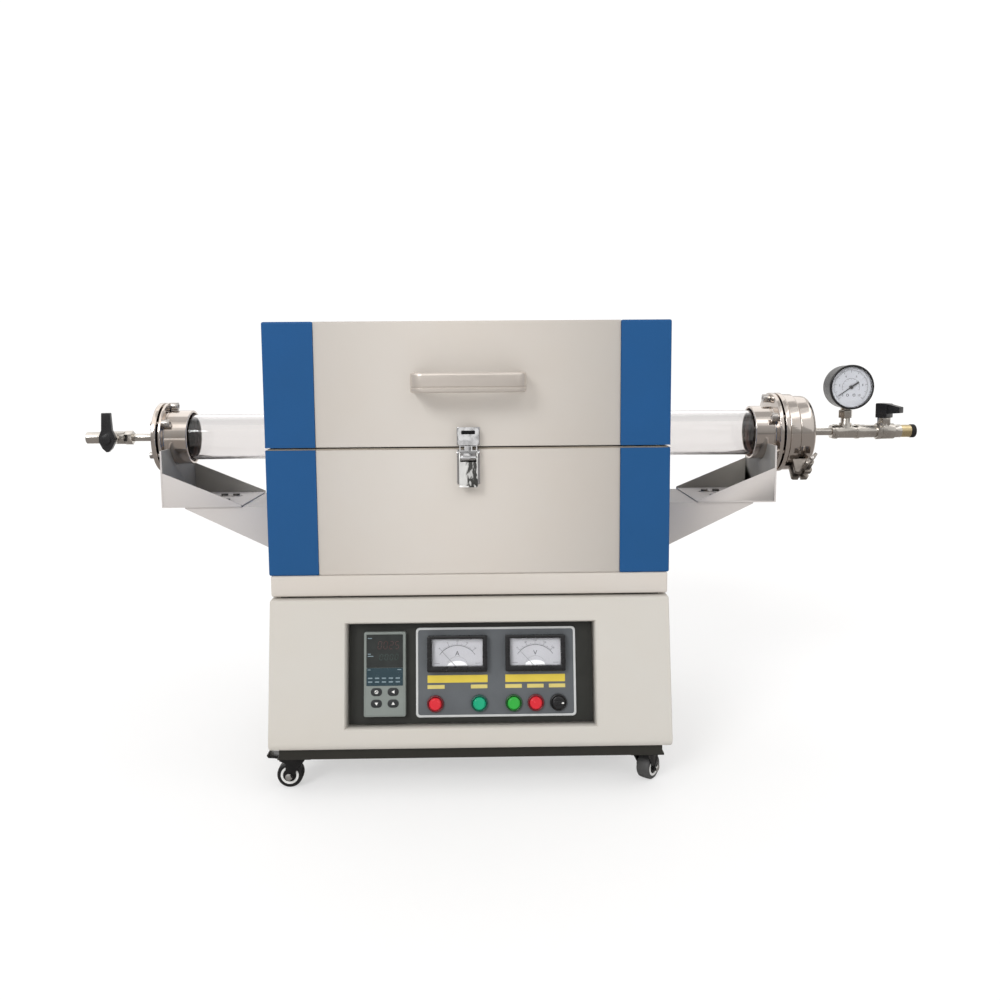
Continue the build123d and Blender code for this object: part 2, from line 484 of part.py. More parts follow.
# ---------------- support brackets ----------------
for sg in (-1, 1):
    def mx(s):
        return s if sg > 0 else mirror(s, about=Plane.YZ)
    floor = bx(TRAY_X0, TRAY_X1, -TRAY_Y, TRAY_Y, TRAY_Z - 1.6, TRAY_Z)
    for yy in (-24, 24):
        floor = floor - (Pos(330, yy, TRAY_Z) * extrude(SlotOverall(34, 5.4), 5, both=True))
    sides = []
    for y0, y1 in ((-TRAY_Y, -TRAY_Y + 1.6), (TRAY_Y - 1.6, TRAY_Y)):
        sides.append(prism_y([(TRAY_X0, TRAY_Z), (TRAY_X1, TRAY_Z), (TRAY_X1, 352.5), (TRAY_X0, 311.5)], y0, y1))
    saddle = bx(SADDLE_X0 - 0.1, SADDLE_X1, -TRAY_Y, TRAY_Y, TRAY_Z - 1.6, 381.0) - cx(R_COLLAR + 0.3, 380, 400)
    top = bx(W / 2, 362, -62, 62, TRAY_Z - 3.6, TRAY_Z - 1.6)
    g = []
    for y0, y1 in ((-64.0, -62.0), (62.0, 64.0)):
        g.append(prism_y([(W / 2, TRAY_Z - 1.6), (364, TRAY_Z - 1.6), (364, TRAY_Z - 3.4), (W / 2, 241.5)], y0, y1))
    wallp = bx(W / 2, W / 2 + 2, -62, 62, 249.5, TRAY_Z - 3.6)
    put("support_brackets", mx(top), mx(g[0]), mx(g[1]), mx(wallp))
    put("support_brackets", mx(floor), mx(sides[0]), mx(sides[1]), mx(saddle))
    for X, Y in ((322, -24), (338, -24), (322, 24), (338, 24)):
        s = cz(2.4, TRAY_Z - 6.0, TRAY_Z + 0.1, X, Y) + cz(4.6, TRAY_Z, TRAY_Z + 3.2, X, Y)
        hole = cz(2.5, TRAY_Z - 10, TRAY_Z, X, Y)
        put("screws", mx(s))
        k = "support_brackets"
        idx = len(parts[k]) - 8
        parts[k][idx] = parts[k][idx] - mx(hole)

# ---------------- inside the cabinet and at its back ----------------
core = bx(-60, 60, 60, 140, Z_CAB + T, 140) - bx(-38, -12, 50, 150, 76, 118) - bx(12, 38, 50, 150, 76, 118)
put("power_electronics", core)
sink = bx(110, 190, 90, 160, Z_CAB + T, 66)
for i in range(8):
    sink = sink + bx(112 + i * 10, 115 + i * 10, 90, 160, 65.9, 96)
put("power_electronics", sink)
gl = cy(10.9, YR - 3.0, YR, -60, 78) + cy(15.0, YR, YR + 5.0, -60, 78) + cy(15.0, YR - T - 5, YR - T, -60, 78) + cy(11.5, YR + 4.9, YR + 20, -60, 78)
gl = gl - cy(5.2, YR - 20, YR + 30, -60, 78)
put("cable_gland", gl)

# ---------------- move the origin under the middle and write ----------------
allc = Compound(children=[Compound(children=[s for q in v for s in q.solids()]) for v in parts.values()])
bb = allc.bounding_box()
OX, OY = round((bb.min.X + bb.max.X) / 2, 3), round((bb.min.Y + bb.max.Y) / 2, 3)
print("bbox", bb.min, bb.max, "shift", -OX, -OY)
os.makedirs("parts", exist_ok=True)
for name, shapes in parts.items():
    sol = []
    for s in shapes:
        if s is None:
            print("EMPTY", name)
            continue
        sol.extend(s.solids())
    out = [Pos(-OX, -OY, 0) * s for s in sol]
    shape = out[0] if len(out) == 1 else Compound(children=out)
    export_step(shape, "parts/%s.step" % name)
print(len(parts), "nodes")
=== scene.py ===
import bpy
import bmesh
import math
from mathutils import Vector, Matrix


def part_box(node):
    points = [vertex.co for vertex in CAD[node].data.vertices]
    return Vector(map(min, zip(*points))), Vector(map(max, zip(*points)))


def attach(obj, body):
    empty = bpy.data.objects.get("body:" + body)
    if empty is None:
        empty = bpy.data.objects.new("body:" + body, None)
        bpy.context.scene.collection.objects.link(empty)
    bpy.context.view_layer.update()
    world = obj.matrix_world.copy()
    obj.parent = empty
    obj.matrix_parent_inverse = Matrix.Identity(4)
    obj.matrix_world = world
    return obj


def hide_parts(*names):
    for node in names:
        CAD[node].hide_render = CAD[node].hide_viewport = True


# Tube furnace: finishes, printed and moulded detail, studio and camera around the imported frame.

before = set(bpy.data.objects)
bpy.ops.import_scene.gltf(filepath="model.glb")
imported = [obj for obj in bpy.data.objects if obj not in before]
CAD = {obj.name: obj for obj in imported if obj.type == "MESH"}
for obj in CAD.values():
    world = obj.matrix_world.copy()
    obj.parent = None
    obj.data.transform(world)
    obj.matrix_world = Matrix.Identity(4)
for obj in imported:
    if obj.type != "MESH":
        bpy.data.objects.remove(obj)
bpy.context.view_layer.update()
scene = bpy.context.scene

# body coordinates (mm, tube axis at Y 0, middle of the body at X 0) to the frame (m)
_q0, _q1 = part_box("quartz_tube")
OFFX = _q0.x * 1000 + 392.0
OFFY = (_q0.y + _q1.y) * 500.0
Z_AX = 393.5
BM = Matrix.Translation((OFFX / 1000, OFFY / 1000, 0)) @ Matrix.Scale(0.001, 4)
Y_CT, Y_CB, Z_CT, Z_CB = -195.8, -229.0, 220.3, 53.0
_sl = math.hypot(Y_CB - Y_CT, Z_CT - Z_CB)
PN = Vector((0, (Z_CT - Z_CB) / _sl, (Y_CB - Y_CT) / _sl))      # into the panel
PS = Vector((0, (Y_CB - Y_CT) / _sl, (Z_CB - Z_CT) / _sl))      # down the slope
PF = Matrix(((1, PS.x, PN.x, 0), (0, PS.y, PN.y, Y_CT), (0, PS.z, PN.z, Z_CT), (0, 0, 0, 1)))
PM = BM @ PF                                                     # panel (u, s, depth) in mm to metres
PT = PF @ Matrix.Rotation(math.pi, 4, "X")                       # text on the panel: x right, y up, z out
PTM = BM @ PT


def srgb(r, g, b):
    def f(c):
        c = c / 255.0
        return c / 12.92 if c <= 0.04045 else ((c + 0.055) / 1.055) ** 2.4
    return (f(r), f(g), f(b), 1.0)


# ------------------------------------------------------------------ materials
class Tree:
    def __init__(self, name):
        self.m = bpy.data.materials.new(name)
        self.m.use_nodes = True
        self.t = self.m.node_tree
        self.t.nodes.clear()
        self.out = self.n("ShaderNodeOutputMaterial")
        self.b = self.n("ShaderNodeBsdfPrincipled")
        self.l(self.b.outputs[0], self.out.inputs[0])
        self.co = self.n("ShaderNodeTexCoord").outputs["Object"]

    def n(self, kind, **kw):
        q = self.t.nodes.new(kind)
        for k, v in kw.items():
            setattr(q, k, v)
        return q

    def l(self, a, b):
        self.t.links.new(a, b)

    def scaled(self, v):
        q = self.n("ShaderNodeMapping")
        q.inputs["Scale"].default_value = v
        self.l(self.co, q.inputs["Vector"])
        return q.outputs[0]

    def noise(self, scale, detail=3.0, rough=0.55, vec=None):
        q = self.n("ShaderNodeTexNoise")
        q.inputs["Scale"].default_value = scale
        q.inputs["Detail"].default_value = detail
        q.inputs["Roughness"].default_value = rough
        self.l(vec if vec is not None else self.co, q.inputs["Vector"])
        return q.outputs["Fac"]

    def remap(self, src, a, b, lo=0.3, hi=0.7):
        q = self.n("ShaderNodeMapRange")
        q.inputs["From Min"].default_value = lo
        q.inputs["From Max"].default_value = hi
        q.inputs["To Min"].default_value = a
        q.inputs["To Max"].default_value = b
        self.l(src, q.inputs["Value"])
        return q.outputs["Result"]

    def ramp(self, src, stops):
        q = self.n("ShaderNodeValToRGB")
        e = q.color_ramp.elements
        e[0].position, e[0].color = stops[0]
        e[1].position, e[1].color = stops[-1]
        for p, c in stops[1:-1]:
            x = e.new(p)
            x.color = c
        self.l(src, q.inputs["Fac"])
        return q.outputs["Color"]

    def bump(self, src, strength, dist, prev=None):
        q = self.n("ShaderNodeBump")
        q.inputs["Strength"].default_value = strength
        q.inputs["Distance"].default_value = dist
        self.l(src, q.inputs["Height"])
        if prev is not None:
            self.l(prev, q.inputs["Normal"])
        return q.outputs["Normal"]

    def set(self, **kw):
        for k, v in kw.items():
            self.b.inputs[k.replace("_", " ")].default_value = v


def shade(c, k):
    return (min(c[0] * k, 1), min(c[1] * k, 1), min(c[2] * k, 1), 1.0)


def warm(c, k):
    return (min(c[0] * (1 + k), 1), c[1], max(c[2] * (1 - k), 0), 1.0)


def paint(name, rgb, rough=0.42, mottle=0.035, peel=0.10, peel_mm=1.1, tint=0.012, spec=0.4):
    """Powder coat: faint large mottling, fine orange peel, roughness that drifts."""
    t = Tree(name)
    c = srgb(*rgb)
    t.l(t.ramp(t.noise(5.0, 4.0, 0.6), [(0.30, warm(shade(c, 1 - mottle), tint)), (0.5, c), (0.70, warm(shade(c, 1 + mottle), -tint))]), t.b.inputs["Base Color"])
    t.l(t.remap(t.noise(30.0, 3.0), rough - 0.05, rough + 0.07), t.b.inputs["Roughness"])
    nb = t.bump(t.noise(1000.0 / peel_mm, 2.0, 0.5), peel, 0.0003)
    t.l(nb, t.b.inputs["Normal"])
    t.set(Specular_IOR_Level=spec)
    return t.m


def plastic(name, rgb, rough=0.35, grain=0.06, grain_mm=0.5, var=0.08, spec=0.5):
    """Moulded plastic: fine grain and small tone and gloss changes."""
    t = Tree(name)
    c = srgb(*rgb)
    t.l(t.ramp(t.noise(60.0, 3.0), [(0.30, shade(c, 1 - var)), (0.70, shade(c, 1 + var))]), t.b.inputs["Base Color"])
    t.l(t.remap(t.noise(120.0, 2.0), rough - 0.06, rough + 0.08), t.b.inputs["Roughness"])
    t.l(t.bump(t.noise(1000.0 / grain_mm, 2.0), grain, 0.0001), t.b.inputs["Normal"])
    t.set(Specular_IOR_Level=spec)
    return t.m


def turned(name, rgb, rough=0.22, lines=0.25, tone=0.10):
    """Steel turned on a lathe about the tube axis: rings round it, a little polish smear."""
    t = Tree(name)
    c = srgb(*rgb)
    sep = t.n("ShaderNodeSeparateXYZ")
    t.l(t.co, sep.inputs[0])
    sub = t.n("ShaderNodeMath", operation="SUBTRACT")
    t.l(sep.outputs["Z"], sub.inputs[0])
    sub.inputs[1].default_value = Z_AX / 1000
    suy = t.n("ShaderNodeMath", operation="SUBTRACT")
    t.l(sep.outputs["Y"], suy.inputs[0])
    suy.inputs[1].default_value = OFFY / 1000
    sq1 = t.n("ShaderNodeMath", operation="MULTIPLY")
    t.l(sub.outputs[0], sq1.inputs[0])
    t.l(sub.outputs[0], sq1.inputs[1])
    sq2 = t.n("ShaderNodeMath", operation="MULTIPLY")
    t.l(suy.outputs[0], sq2.inputs[0])
    t.l(suy.outputs[0], sq2.inputs[1])
    ad = t.n("ShaderNodeMath", operation="ADD")
    t.l(sq1.outputs[0], ad.inputs[0])
    t.l(sq2.outputs[0], ad.inputs[1])
    rt = t.n("ShaderNodeMath", operation="SQRT")
    t.l(ad.outputs[0], rt.inputs[0])
    com = t.n("ShaderNodeCombineXYZ")
    t.l(sep.outputs["X"], com.inputs[0])
    t.l(rt.outputs[0], com.inputs[1])
    fine = t.noise(2600.0, 2.0, 0.6, com.outputs[0])
    big = t.noise(22.0, 3.0)
    t.l(t.ramp(big, [(0.30, warm(shade(c, 1 - tone), 0.05)), (0.5, c), (0.72, shade(c, 1 + tone))]), t.b.inputs["Base Color"])
    t.l(t.remap(fine, rough - 0.05, rough + 0.10), t.b.inputs["Roughness"])
    t.l(t.bump(fine, lines, 0.00004), t.b.inputs["Normal"])
    t.set(Metallic=1.0)
    return t.m


def metal(name, rgb, rough=0.25, stretch=(1, 1, 1), scale=400.0, depth=0.12, tone=0.10, dist=0.00006, detail=3.0):
    """Metal with a grain stretched along one axis, and uneven tone."""
    t = Tree(name)
    c = srgb(*rgb)
    vec = t.scaled(stretch)
    g = t.noise(scale, detail, 0.6, vec)
    t.l(t.ramp(t.noise(40.0, 3.0), [(0.28, shade(c, 1 - tone)), (0.5, c), (0.72, shade(c, 1 + tone))]), t.b.inputs["Base Color"])
    t.l(t.remap(g, max(rough - 0.05, 0.02), rough + 0.08), t.b.inputs["Roughness"])
    t.l(t.bump(g, depth, dist), t.b.inputs["Normal"])
    t.set(Metallic=1.0)
    return t.m


def streaked(name, half):
    """Plated lever with a painted reflection of a small room: pale on one side, dark on the other, with a ragged
    border.
    """
    t = Tree(name)
    sep = t.n("ShaderNodeSeparateXYZ")
    t.l(t.co, sep.inputs[0])
    side = t.remap(sep.outputs["X"], 0.0, 1.0, OFFX / 1000 - half, OFFX / 1000 + half)
    wob = t.remap(t.noise(190.0, 2.0, 0.6, t.scaled((1, 1, 0.45))), -0.34, 0.34, 0.25, 0.75)
    ad = t.n("ShaderNodeMath", operation="ADD")
    t.l(side, ad.inputs[0])
    t.l(wob, ad.inputs[1])
    # painted reflection: pale, then dark, then pale again across the lever
    t.l(t.ramp(ad.outputs[0], [(0.0, srgb(226, 226, 224)), (0.34, srgb(238, 238, 236)), (0.50, srgb(196, 196, 194)), (0.56, srgb(84, 84, 82)),
                               (0.86, srgb(66, 66, 64)), (0.95, srgb(214, 214, 212)), (1.0, srgb(236, 236, 234))]), t.b.inputs["Base Color"])
    t.l(t.remap(t.noise(120.0, 1.0), 0.10, 0.18), t.b.inputs["Roughness"])
    t.l(t.bump(t.noise(150.0, 0.4), 0.5, 0.0004), t.b.inputs["Normal"])
    t.set(Metallic=0.45)
    return t.m


def clear(name, tint=(1.0, 1.0, 1.0, 1.0), ior=1.46, rough=0.0):
    """Clear wall: glass to the eye, open to the lamps."""
    t = Tree(name)
    t.set(Base_Color=tint, Transmission_Weight=1.0, IOR=ior)
    t.l(t.remap(t.noise(35.0, 2.0), rough, rough + 0.02), t.b.inputs["Roughness"])
    lp = t.n("ShaderNodeLightPath")
    tr = t.n("ShaderNodeBsdfTransparent")
    mx = t.n("ShaderNodeMixShader")
    t.l(lp.outputs["Is Shadow Ray"], mx.inputs[0])
    t.l(t.b.outputs[0], mx.inputs[1])
    t.l(tr.outputs[0], mx.inputs[2])
    t.l(mx.outputs[0], t.out.inputs[0])
    return t.m


def fibre(name, rgb):
    t = Tree(name)
    c = srgb(*rgb)
    a = t.noise(260.0, 5.0, 0.7)
    b = t.noise(30.0, 3.0)
    t.l(t.ramp(b, [(0.3, shade(c, 0.93)), (0.7, c)]), t.b.inputs["Base Color"])
    t.l(t.remap(a, 0.85, 1.0), t.b.inputs["Roughness"])
    t.l(t.bump(a, 0.5, 0.0012), t.b.inputs["Normal"])
    return t.m


M = {}
M["beige"] = paint("beige_powder_coat", (200, 194, 187), 0.60, 0.020, 0.08, spec=0.16)
M["cabinet"] = paint("cabinet_powder_coat", (196, 192, 185), 0.60, 0.020, 0.08, spec=0.18)
M["blue"] = paint("blue_powder_coat", (20, 78, 130), 0.50, mottle=0.04, tint=0.02, spec=0.26)
M["frame"] = paint("black_frame_coat", (44, 43, 38), 0.45)
M["plate"] = plastic("black_plate_finish", (38, 39, 35), 0.42, 0.10, 0.5, 0.06)
M["mpanel"] = plastic("grey_panel_print", (89, 93, 97), 0.45, 0.08, 0.6, 0.05)
M["outline"] = plastic("silver_outline_print", (196, 198, 198), 0.40, 0.03, 0.5, 0.04)
M["yellow"] = plastic("yellow_strip_print", (214, 190, 68), 0.45, 0.03, 0.6, 0.04)
M["label"] = plastic("pale_label_print", (208, 192, 112), 0.45, 0.03, 0.6, 0.04)
M["ctl"] = plastic("controller_case_plastic", (124, 131, 127), 0.48, 0.08, 0.5, 0.04)
M["screen"] = plastic("controller_screen", (44, 47, 46), 0.18, 0.02, 0.8, 0.10)
M["teal"] = plastic("controller_lower_band", (40, 60, 68), 0.22, 0.02, 0.8, 0.06)
M["screen_red"] = plastic("display_segment_red", (70, 50, 48), 0.30, 0.0, 0.8, 0.05)
M["screen_green"] = plastic("display_segment_green", (50, 66, 62), 0.30, 0.0, 0.8, 0.05)
M["mark"] = plastic("pale_mark_print", (122, 140, 148), 0.40, 0.0, 0.8, 0.05)
M["keydark"] = plastic("dark_key_foil", (40, 43, 44), 0.35, 0.05, 0.6, 0.06)
M["white"] = plastic("white_print", (232, 232, 230), 0.45, 0.0, 0.8, 0.03)
M["bezel"] = plastic("black_bezel_plastic", (26, 26, 28), 0.28, 0.06, 0.5, 0.08)
M["dial"] = plastic("meter_dial_card", (176, 176, 181), 0.50, 0.02, 0.6, 0.02)
M["hump"] = plastic("meter_movement_cover", (238, 238, 240), 0.25, 0.02, 0.6, 0.02)
M["ink"] = plastic("black_ink", (38, 38, 42), 0.50, 0.0, 0.8, 0.05)
M["gdial"] = plastic("gauge_dial_card", (188, 190, 196), 0.45, 0.02, 0.6, 0.02)
M["needle"] = plastic("needle_lacquer", (24, 24, 26), 0.35, 0.0, 0.8, 0.05)
M["thin"] = plastic("meter_pointer", (128, 128, 130), 0.5, 0.0, 0.8, 0.05)
# seal colour for the split line: painted shade
M["rope"] = plastic("split_rope", (158, 149, 136), 0.8, 0.2, 0.8, 0.12, 0.2)
M["rred"] = plastic("dark_red_bezel", (104, 26, 34), 0.28, 0.05, 0.5, 0.08)
M["rteal"] = plastic("dark_teal_bezel", (16, 78, 66), 0.28, 0.05, 0.5, 0.08)
M["rgreen"] = plastic("dark_green_bezel", (26, 82, 36), 0.28, 0.05, 0.5, 0.08)
M["red"] = plastic("red_button_plastic", (206, 38, 50), 0.22, 0.03, 0.6, 0.05)
M["tgreen"] = plastic("teal_green_button_plastic", (20, 160, 118), 0.22, 0.03, 0.6, 0.05)
M["green"] = plastic("green_button_plastic", (48, 165, 62), 0.22, 0.03, 0.6, 0.05)
M["black"] = plastic("black_moulded_plastic", (30, 30, 32), 0.30, 0.08, 0.6, 0.08)
M["gloss"] = plastic("black_caster_lacquer", (20, 20, 21), 0.14, 0.03, 0.8, 0.08)
M["tyre"] = plastic("black_caster_tyre", (26, 26, 27), 0.30, 0.10, 0.7, 0.10)
M["ring"] = plastic("white_caster_ring", (226, 226, 224), 0.35, 0.04, 0.6, 0.04)
M["rubber"] = plastic("seal_rubber", (28, 26, 25), 0.60, 0.15, 0.5, 0.10, 0.3)
M["brownseal"] = plastic("brown_seal", (84, 62, 54), 0.45, 0.10, 0.5, 0.10, 0.4)
M["steel"] = turned("turned_stainless", (206, 198, 191), 0.09, 0.10, 0.07)
M["cast"] = metal("cast_clamp_lug", (138, 132, 126), 0.34, (1, 1, 1), 300.0, 0.25, 0.16, 0.00008)
M["steel2"] = turned("turned_stainless_dull", (160, 150, 144), 0.28)
M["pipe"] = metal("drawn_pipe_steel", (204, 199, 192), 0.16, (1, 6, 6), 260.0, 0.12)
M["fitting"] = metal("cast_fitting_steel", (196, 191, 184), 0.20, (1, 1, 1), 420.0, 0.30, 0.16, 0.00015)
M["brass"] = metal("brass_fitting", (208, 190, 148), 0.28, (1, 6, 6), 260.0, 0.12, 0.12)
M["chrome"] = metal("chrome_plate", (208, 209, 211), 0.10, (1, 1, 1), 150.0, 0.5, 0.04, 0.0004, 0.3)
# latch lever plating with a painted reflection, pale on the left and dark on the right
M["lever"] = streaked("plated_lever", 0.0105)
M["hub"] = metal("bright_axle_head", (226, 226, 224), 0.34, (1, 1, 1), 300.0, 0.10, 0.05)
# dark pads behind the latch loop's openings: painted shade
M["chromed"] = metal("pressing_painted_shade", (52, 52, 54), 0.35, (1, 1, 1), 70.0, 0.2, 0.06)
M["socket"] = metal("dark_socket_screw", (72, 69, 66), 0.32, (1, 1, 1), 300.0, 0.15, 0.12)
M["tread"] = plastic("worn_caster_tread", (74, 74, 74), 0.45, 0.12, 0.7, 0.10)
M["handle"] = metal("satin_aluminium", (206, 198, 190), 0.34, (0.06, 1, 1), 900.0, 0.02, 0.02, 0.00002, 1.0)
M["handle"].node_tree.nodes["Principled BSDF"].inputs["Metallic"].default_value = 0.6
M["zinc"] = metal("zinc_screw", (186, 182, 178), 0.30, (1, 1, 1), 300.0, 0.12, 0.10)
M["wire"] = metal("heater_wire", (98, 84, 76), 0.55, (1, 1, 1), 500.0, 0.3, 0.15, 0.0002)
M["core"] = metal("laminated_core", (96, 98, 104), 0.45, (900, 1, 1), 1.4, 0.4, 0.10, 0.0003)
M["alu"] = metal("extruded_aluminium", (176, 178, 182), 0.35, (1, 0.05, 1), 900.0, 0.2, 0.05)
M["bracket"] = paint("bracket_powder_coat", (195, 190, 187), 0.52, 0.025, spec=0.3)
# darker coat for the brackets' shaded inner faces: painted shade
M["brkin"] = paint("bracket_inner_face", (158, 154, 147), 0.50, 0.04)
M["quartz"] = clear("quartz_glass", (0.86, 0.845, 0.84, 1.0), 1.46)
M["window"] = clear("clear_window", (1.0, 1.0, 1.0, 1.0), 1.45, 0.0)
M["fibre"] = fibre("white_fibre_board", (236, 231, 222))
M["ceramic"] = fibre("heater_ceramic", (206, 192, 172))
M["tc"] = metal("thermocouple_sheath", (120, 112, 104), 0.40, (1, 0.1, 1), 500.0)

# ------------------------------------------------------------------ mesh tools
class Kit:
    """Collects faces for one piece, with its materials."""

    def __init__(self, *mats):
        self.bm = bmesh.new()
        self.mats = list(mats)

    def take(self, bm, mat=0, xf=None):
        if mat is not None:
            for f in bm.faces:
                f.material_index = mat
        if xf is not None:
            bmesh.ops.transform(bm, matrix=xf, verts=bm.verts)
        bmesh.ops.recalc_face_normals(bm, faces=bm.faces)
        me = bpy.data.meshes.new("tmp")
        bm.to_mesh(me)
        bm.free()
        self.bm.from_mesh(me)
        bpy.data.meshes.remove(me)

    def done(self, name, body, replaces=(), sharp=32.0):
        me = bpy.data.meshes.new(name)
        bmesh.ops.dissolve_degenerate(self.bm, dist=1e-7, edges=self.bm.edges)
        self.bm.to_mesh(me)
        self.bm.free()
        for q in self.mats:
            me.materials.append(q)
        me.polygons.foreach_set("use_smooth", [True] * len(me.polygons))
        me.set_sharp_from_angle(angle=math.radians(sharp))
        ob = bpy.data.objects.new(name, me)
        scene.collection.objects.link(ob)
        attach(ob, body)
        if replaces:
            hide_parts(*replaces)
        return ob


def bevel_edges(bm, edges, w, seg=3):
    edges = [e for e in edges if e.is_valid]
    if edges and w > 0:
        bmesh.ops.bevel(bm, geom=edges, offset=w, offset_type="OFFSET", segments=seg, profile=0.5, affect="EDGES", clamp_overlap=True)


def block(k, x0, x1, y0, y1, z0, z1, r=0.4, seg=3, mat=0, xf=BM, pick=None):
    bm = bmesh.new()
    bmesh.ops.create_cube(bm, size=1.0)
    bmesh.ops.transform(bm, matrix=Matrix.Translation(((x0 + x1) / 2, (y0 + y1) / 2, (z0 + z1) / 2)) @ Matrix.Diagonal((abs(x1 - x0), abs(y1 - y0), abs(z1 - z0), 1)), verts=bm.verts)
    es = [e for e in bm.edges if pick is None or pick((e.verts[0].co + e.verts[1].co) / 2, (e.verts[1].co - e.verts[0].co).normalized())]
    bevel_edges(bm, es, r, seg)
    k.take(bm, mat, xf)


def rrect(x0, x1, y0, y1, r, n=6):
    pts = []
    for cx_, cy_, a0 in ((x1 - r, y1 - r, 0), (x0 + r, y1 - r, 90), (x0 + r, y0 + r, 180), (x1 - r, y0 + r, 270)):
        for i in range(n + 1):
            a = math.radians(a0 + 90 * i / n)
            pts.append((cx_ + r * math.cos(a), cy_ + r * math.sin(a)))
    return pts


def circle(cx_, cy_, r, n=32, a0=0.0):
    return [(cx_ + r * math.cos(a0 + 2 * math.pi * i / n), cy_ + r * math.sin(a0 + 2 * math.pi * i / n)) for i in range(n)]


def prism(k, pts, d0, d1, mat=0, xf=BM, r=0.0, seg=2, both=False):
    """Polygon in x-y pushed along z from d0 to d1; r rounds the rim at d0 (and d1 if both)."""
    bm = bmesh.new()
    a = [bm.verts.new((x, y, d0)) for x, y in pts]
    b = [bm.verts.new((x, y, d1)) for x, y in pts]
    bm.faces.new(a)
    bm.faces.new(b)
    n = len(pts)
    for i in range(n):
        bm.faces.new((a[i], a[(i + 1) % n], b[(i + 1) % n], b[i]))
    bmesh.ops.recalc_face_normals(bm, faces=bm.faces)
    if r > 0:
        es = [e for e in bm.edges if all(abs(v.co.z - d0) < 1e-6 for v in e.verts) or (both and all(abs(v.co.z - d1) < 1e-6 for v in e.verts))]
        bevel_edges(bm, es, r, seg)
    k.take(bm, mat, xf)


def frame_ring(k, outer, inner, d0, d1, mat=0, xf=BM, r=0.0):
    """Ring between two outlines with the same number of points."""
    bm = bmesh.new()
    n = len(outer)
    ao = [bm.verts.new((x, y, d0)) for x, y in outer]
    ai = [bm.verts.new((x, y, d0)) for x, y in inner]
    bo = [bm.verts.new((x, y, d1)) for x, y in outer]
    bi = [bm.verts.new((x, y, d1)) for x, y in inner]
    for i in range(n):
        j = (i + 1) % n
        bm.faces.new((ao[i], ao[j], ai[j], ai[i]))
        bm.faces.new((bo[i], bi[i], bi[j], bo[j]))
        bm.faces.new((ao[i], bo[i], bo[j], ao[j]))
        bm.faces.new((ai[i], ai[j], bi[j], bi[i]))
    bmesh.ops.recalc_face_normals(bm, faces=bm.faces)
    if r > 0:
        es = [e for e in bm.edges if all(abs(v.co.z - d0) < 1e-6 for v in e.verts) and e.calc_face_angle(0) > 1.0]
        bevel_edges(bm, es, r, 2)
    k.take(bm, mat, xf)


def fillet2(pts, r, n=4, closed=True):
    """Rounds the corners of a 2-D outline; r is one number or one per point."""
    out = []
    m = len(pts)
    for i, p in enumerate(pts):
        rr = r[i] if isinstance(r, (list, tuple)) else r
        if rr <= 0 or (not closed and i in (0, m - 1)):
            out.append(p)
            continue
        a, b = Vector(pts[i - 1]), Vector(pts[(i + 1) % m])
        c = Vector(p)
        u, v = (a - c), (b - c)
        lu, lv = u.length, v.length
        if lu < 1e-9 or lv < 1e-9:
            out.append(p)
            continue
        u, v = u / lu, v / lv
        dot = max(-1.0, min(1.0, u.dot(v)))
        th = math.acos(dot)
        if th > math.radians(176) or th < 0.05:
            out.append(p)
            continue
        t = min(rr / math.tan(th / 2), lu * 0.48, lv * 0.48)
        re = t * math.tan(th / 2)
        cen = c + (u + v).normalized() * (re / math.sin(th / 2))
        s, e = c + u * t - cen, c + v * t - cen
        ang = math.atan2(s.x * e.y - s.y * e.x, s.dot(e))
        for q in range(n + 1):
            w = ang * q / n
            out.append((cen.x + s.x * math.cos(w) - s.y * math.sin(w), cen.y + s.x * math.sin(w) + s.y * math.cos(w)))
    return out


AX_X = Matrix(((0, 0, 1, 0), (0, 1, 0, 0), (-1, 0, 0, 0), (0, 0, 0, 1)))     # local z -> X, local y -> Y, local x -> -Z


def about_x(y=0.0, z=Z_AX):
    return BM @ Matrix.Translation((0, y, z)) @ AX_X


def about_y(x, z):
    """local z -> +Y."""
    return BM @ Matrix.Translation((x, 0, z)) @ Matrix(((1, 0, 0, 0), (0, 0, 1, 0), (0, -1, 0, 0), (0, 0, 0, 1)))


def about_z(x, y):
    return BM @ Matrix.Translation((x, y, 0))


def lathe(k, prof, n=96, mat=0, xf=BM, closed=True, r=0.0, a0=0.0, a1=360.0):
    """Turns a profile of (z, radius) points about local z. Closed profiles make rings; open ones end on the axis."""
    if r:
        prof = fillet2(prof, r, 3, closed)
    bm = bmesh.new()
    full = abs(a1 - a0) >= 359.9
    cols = []
    cnt = n if full else n + 1
    for i in range(cnt):
        a = math.radians(a0 + (a1 - a0) * i / n)
        col = []
        for z, rad in prof:
            col.append((z, rad, a))
        cols.append(col)
    verts = {}
    rows = []
    for i, col in enumerate(cols):
        row = []
        for j, (z, rad, a) in enumerate(col):
            if rad < 1e-6:
                key = ("axis", j)
                if key not in verts:
                    verts[key] = bm.verts.new((0, 0, z))
                row.append(verts[key])
            else:
                row.append(bm.verts.new((rad * math.cos(a), rad * math.sin(a), z)))
        rows.append(row)
    m = len(prof)
    last = cnt if full else cnt - 1
    for i in range(last):
        ra, rb = rows[i], rows[(i + 1) % cnt]
        for j in range(m if closed else m - 1):
            jj = (j + 1) % m
            q = []
            for v in (ra[j], ra[jj], rb[jj], rb[j]):
                if v not in q:
                    q.append(v)
            if len(q) >= 3:
                try:
                    bm.faces.new(q)
                except ValueError:
                    pass
    if not full:
        bm.faces.new(rows[0])
        bm.faces.new(rows[-1])
    k.take(bm, mat, xf)


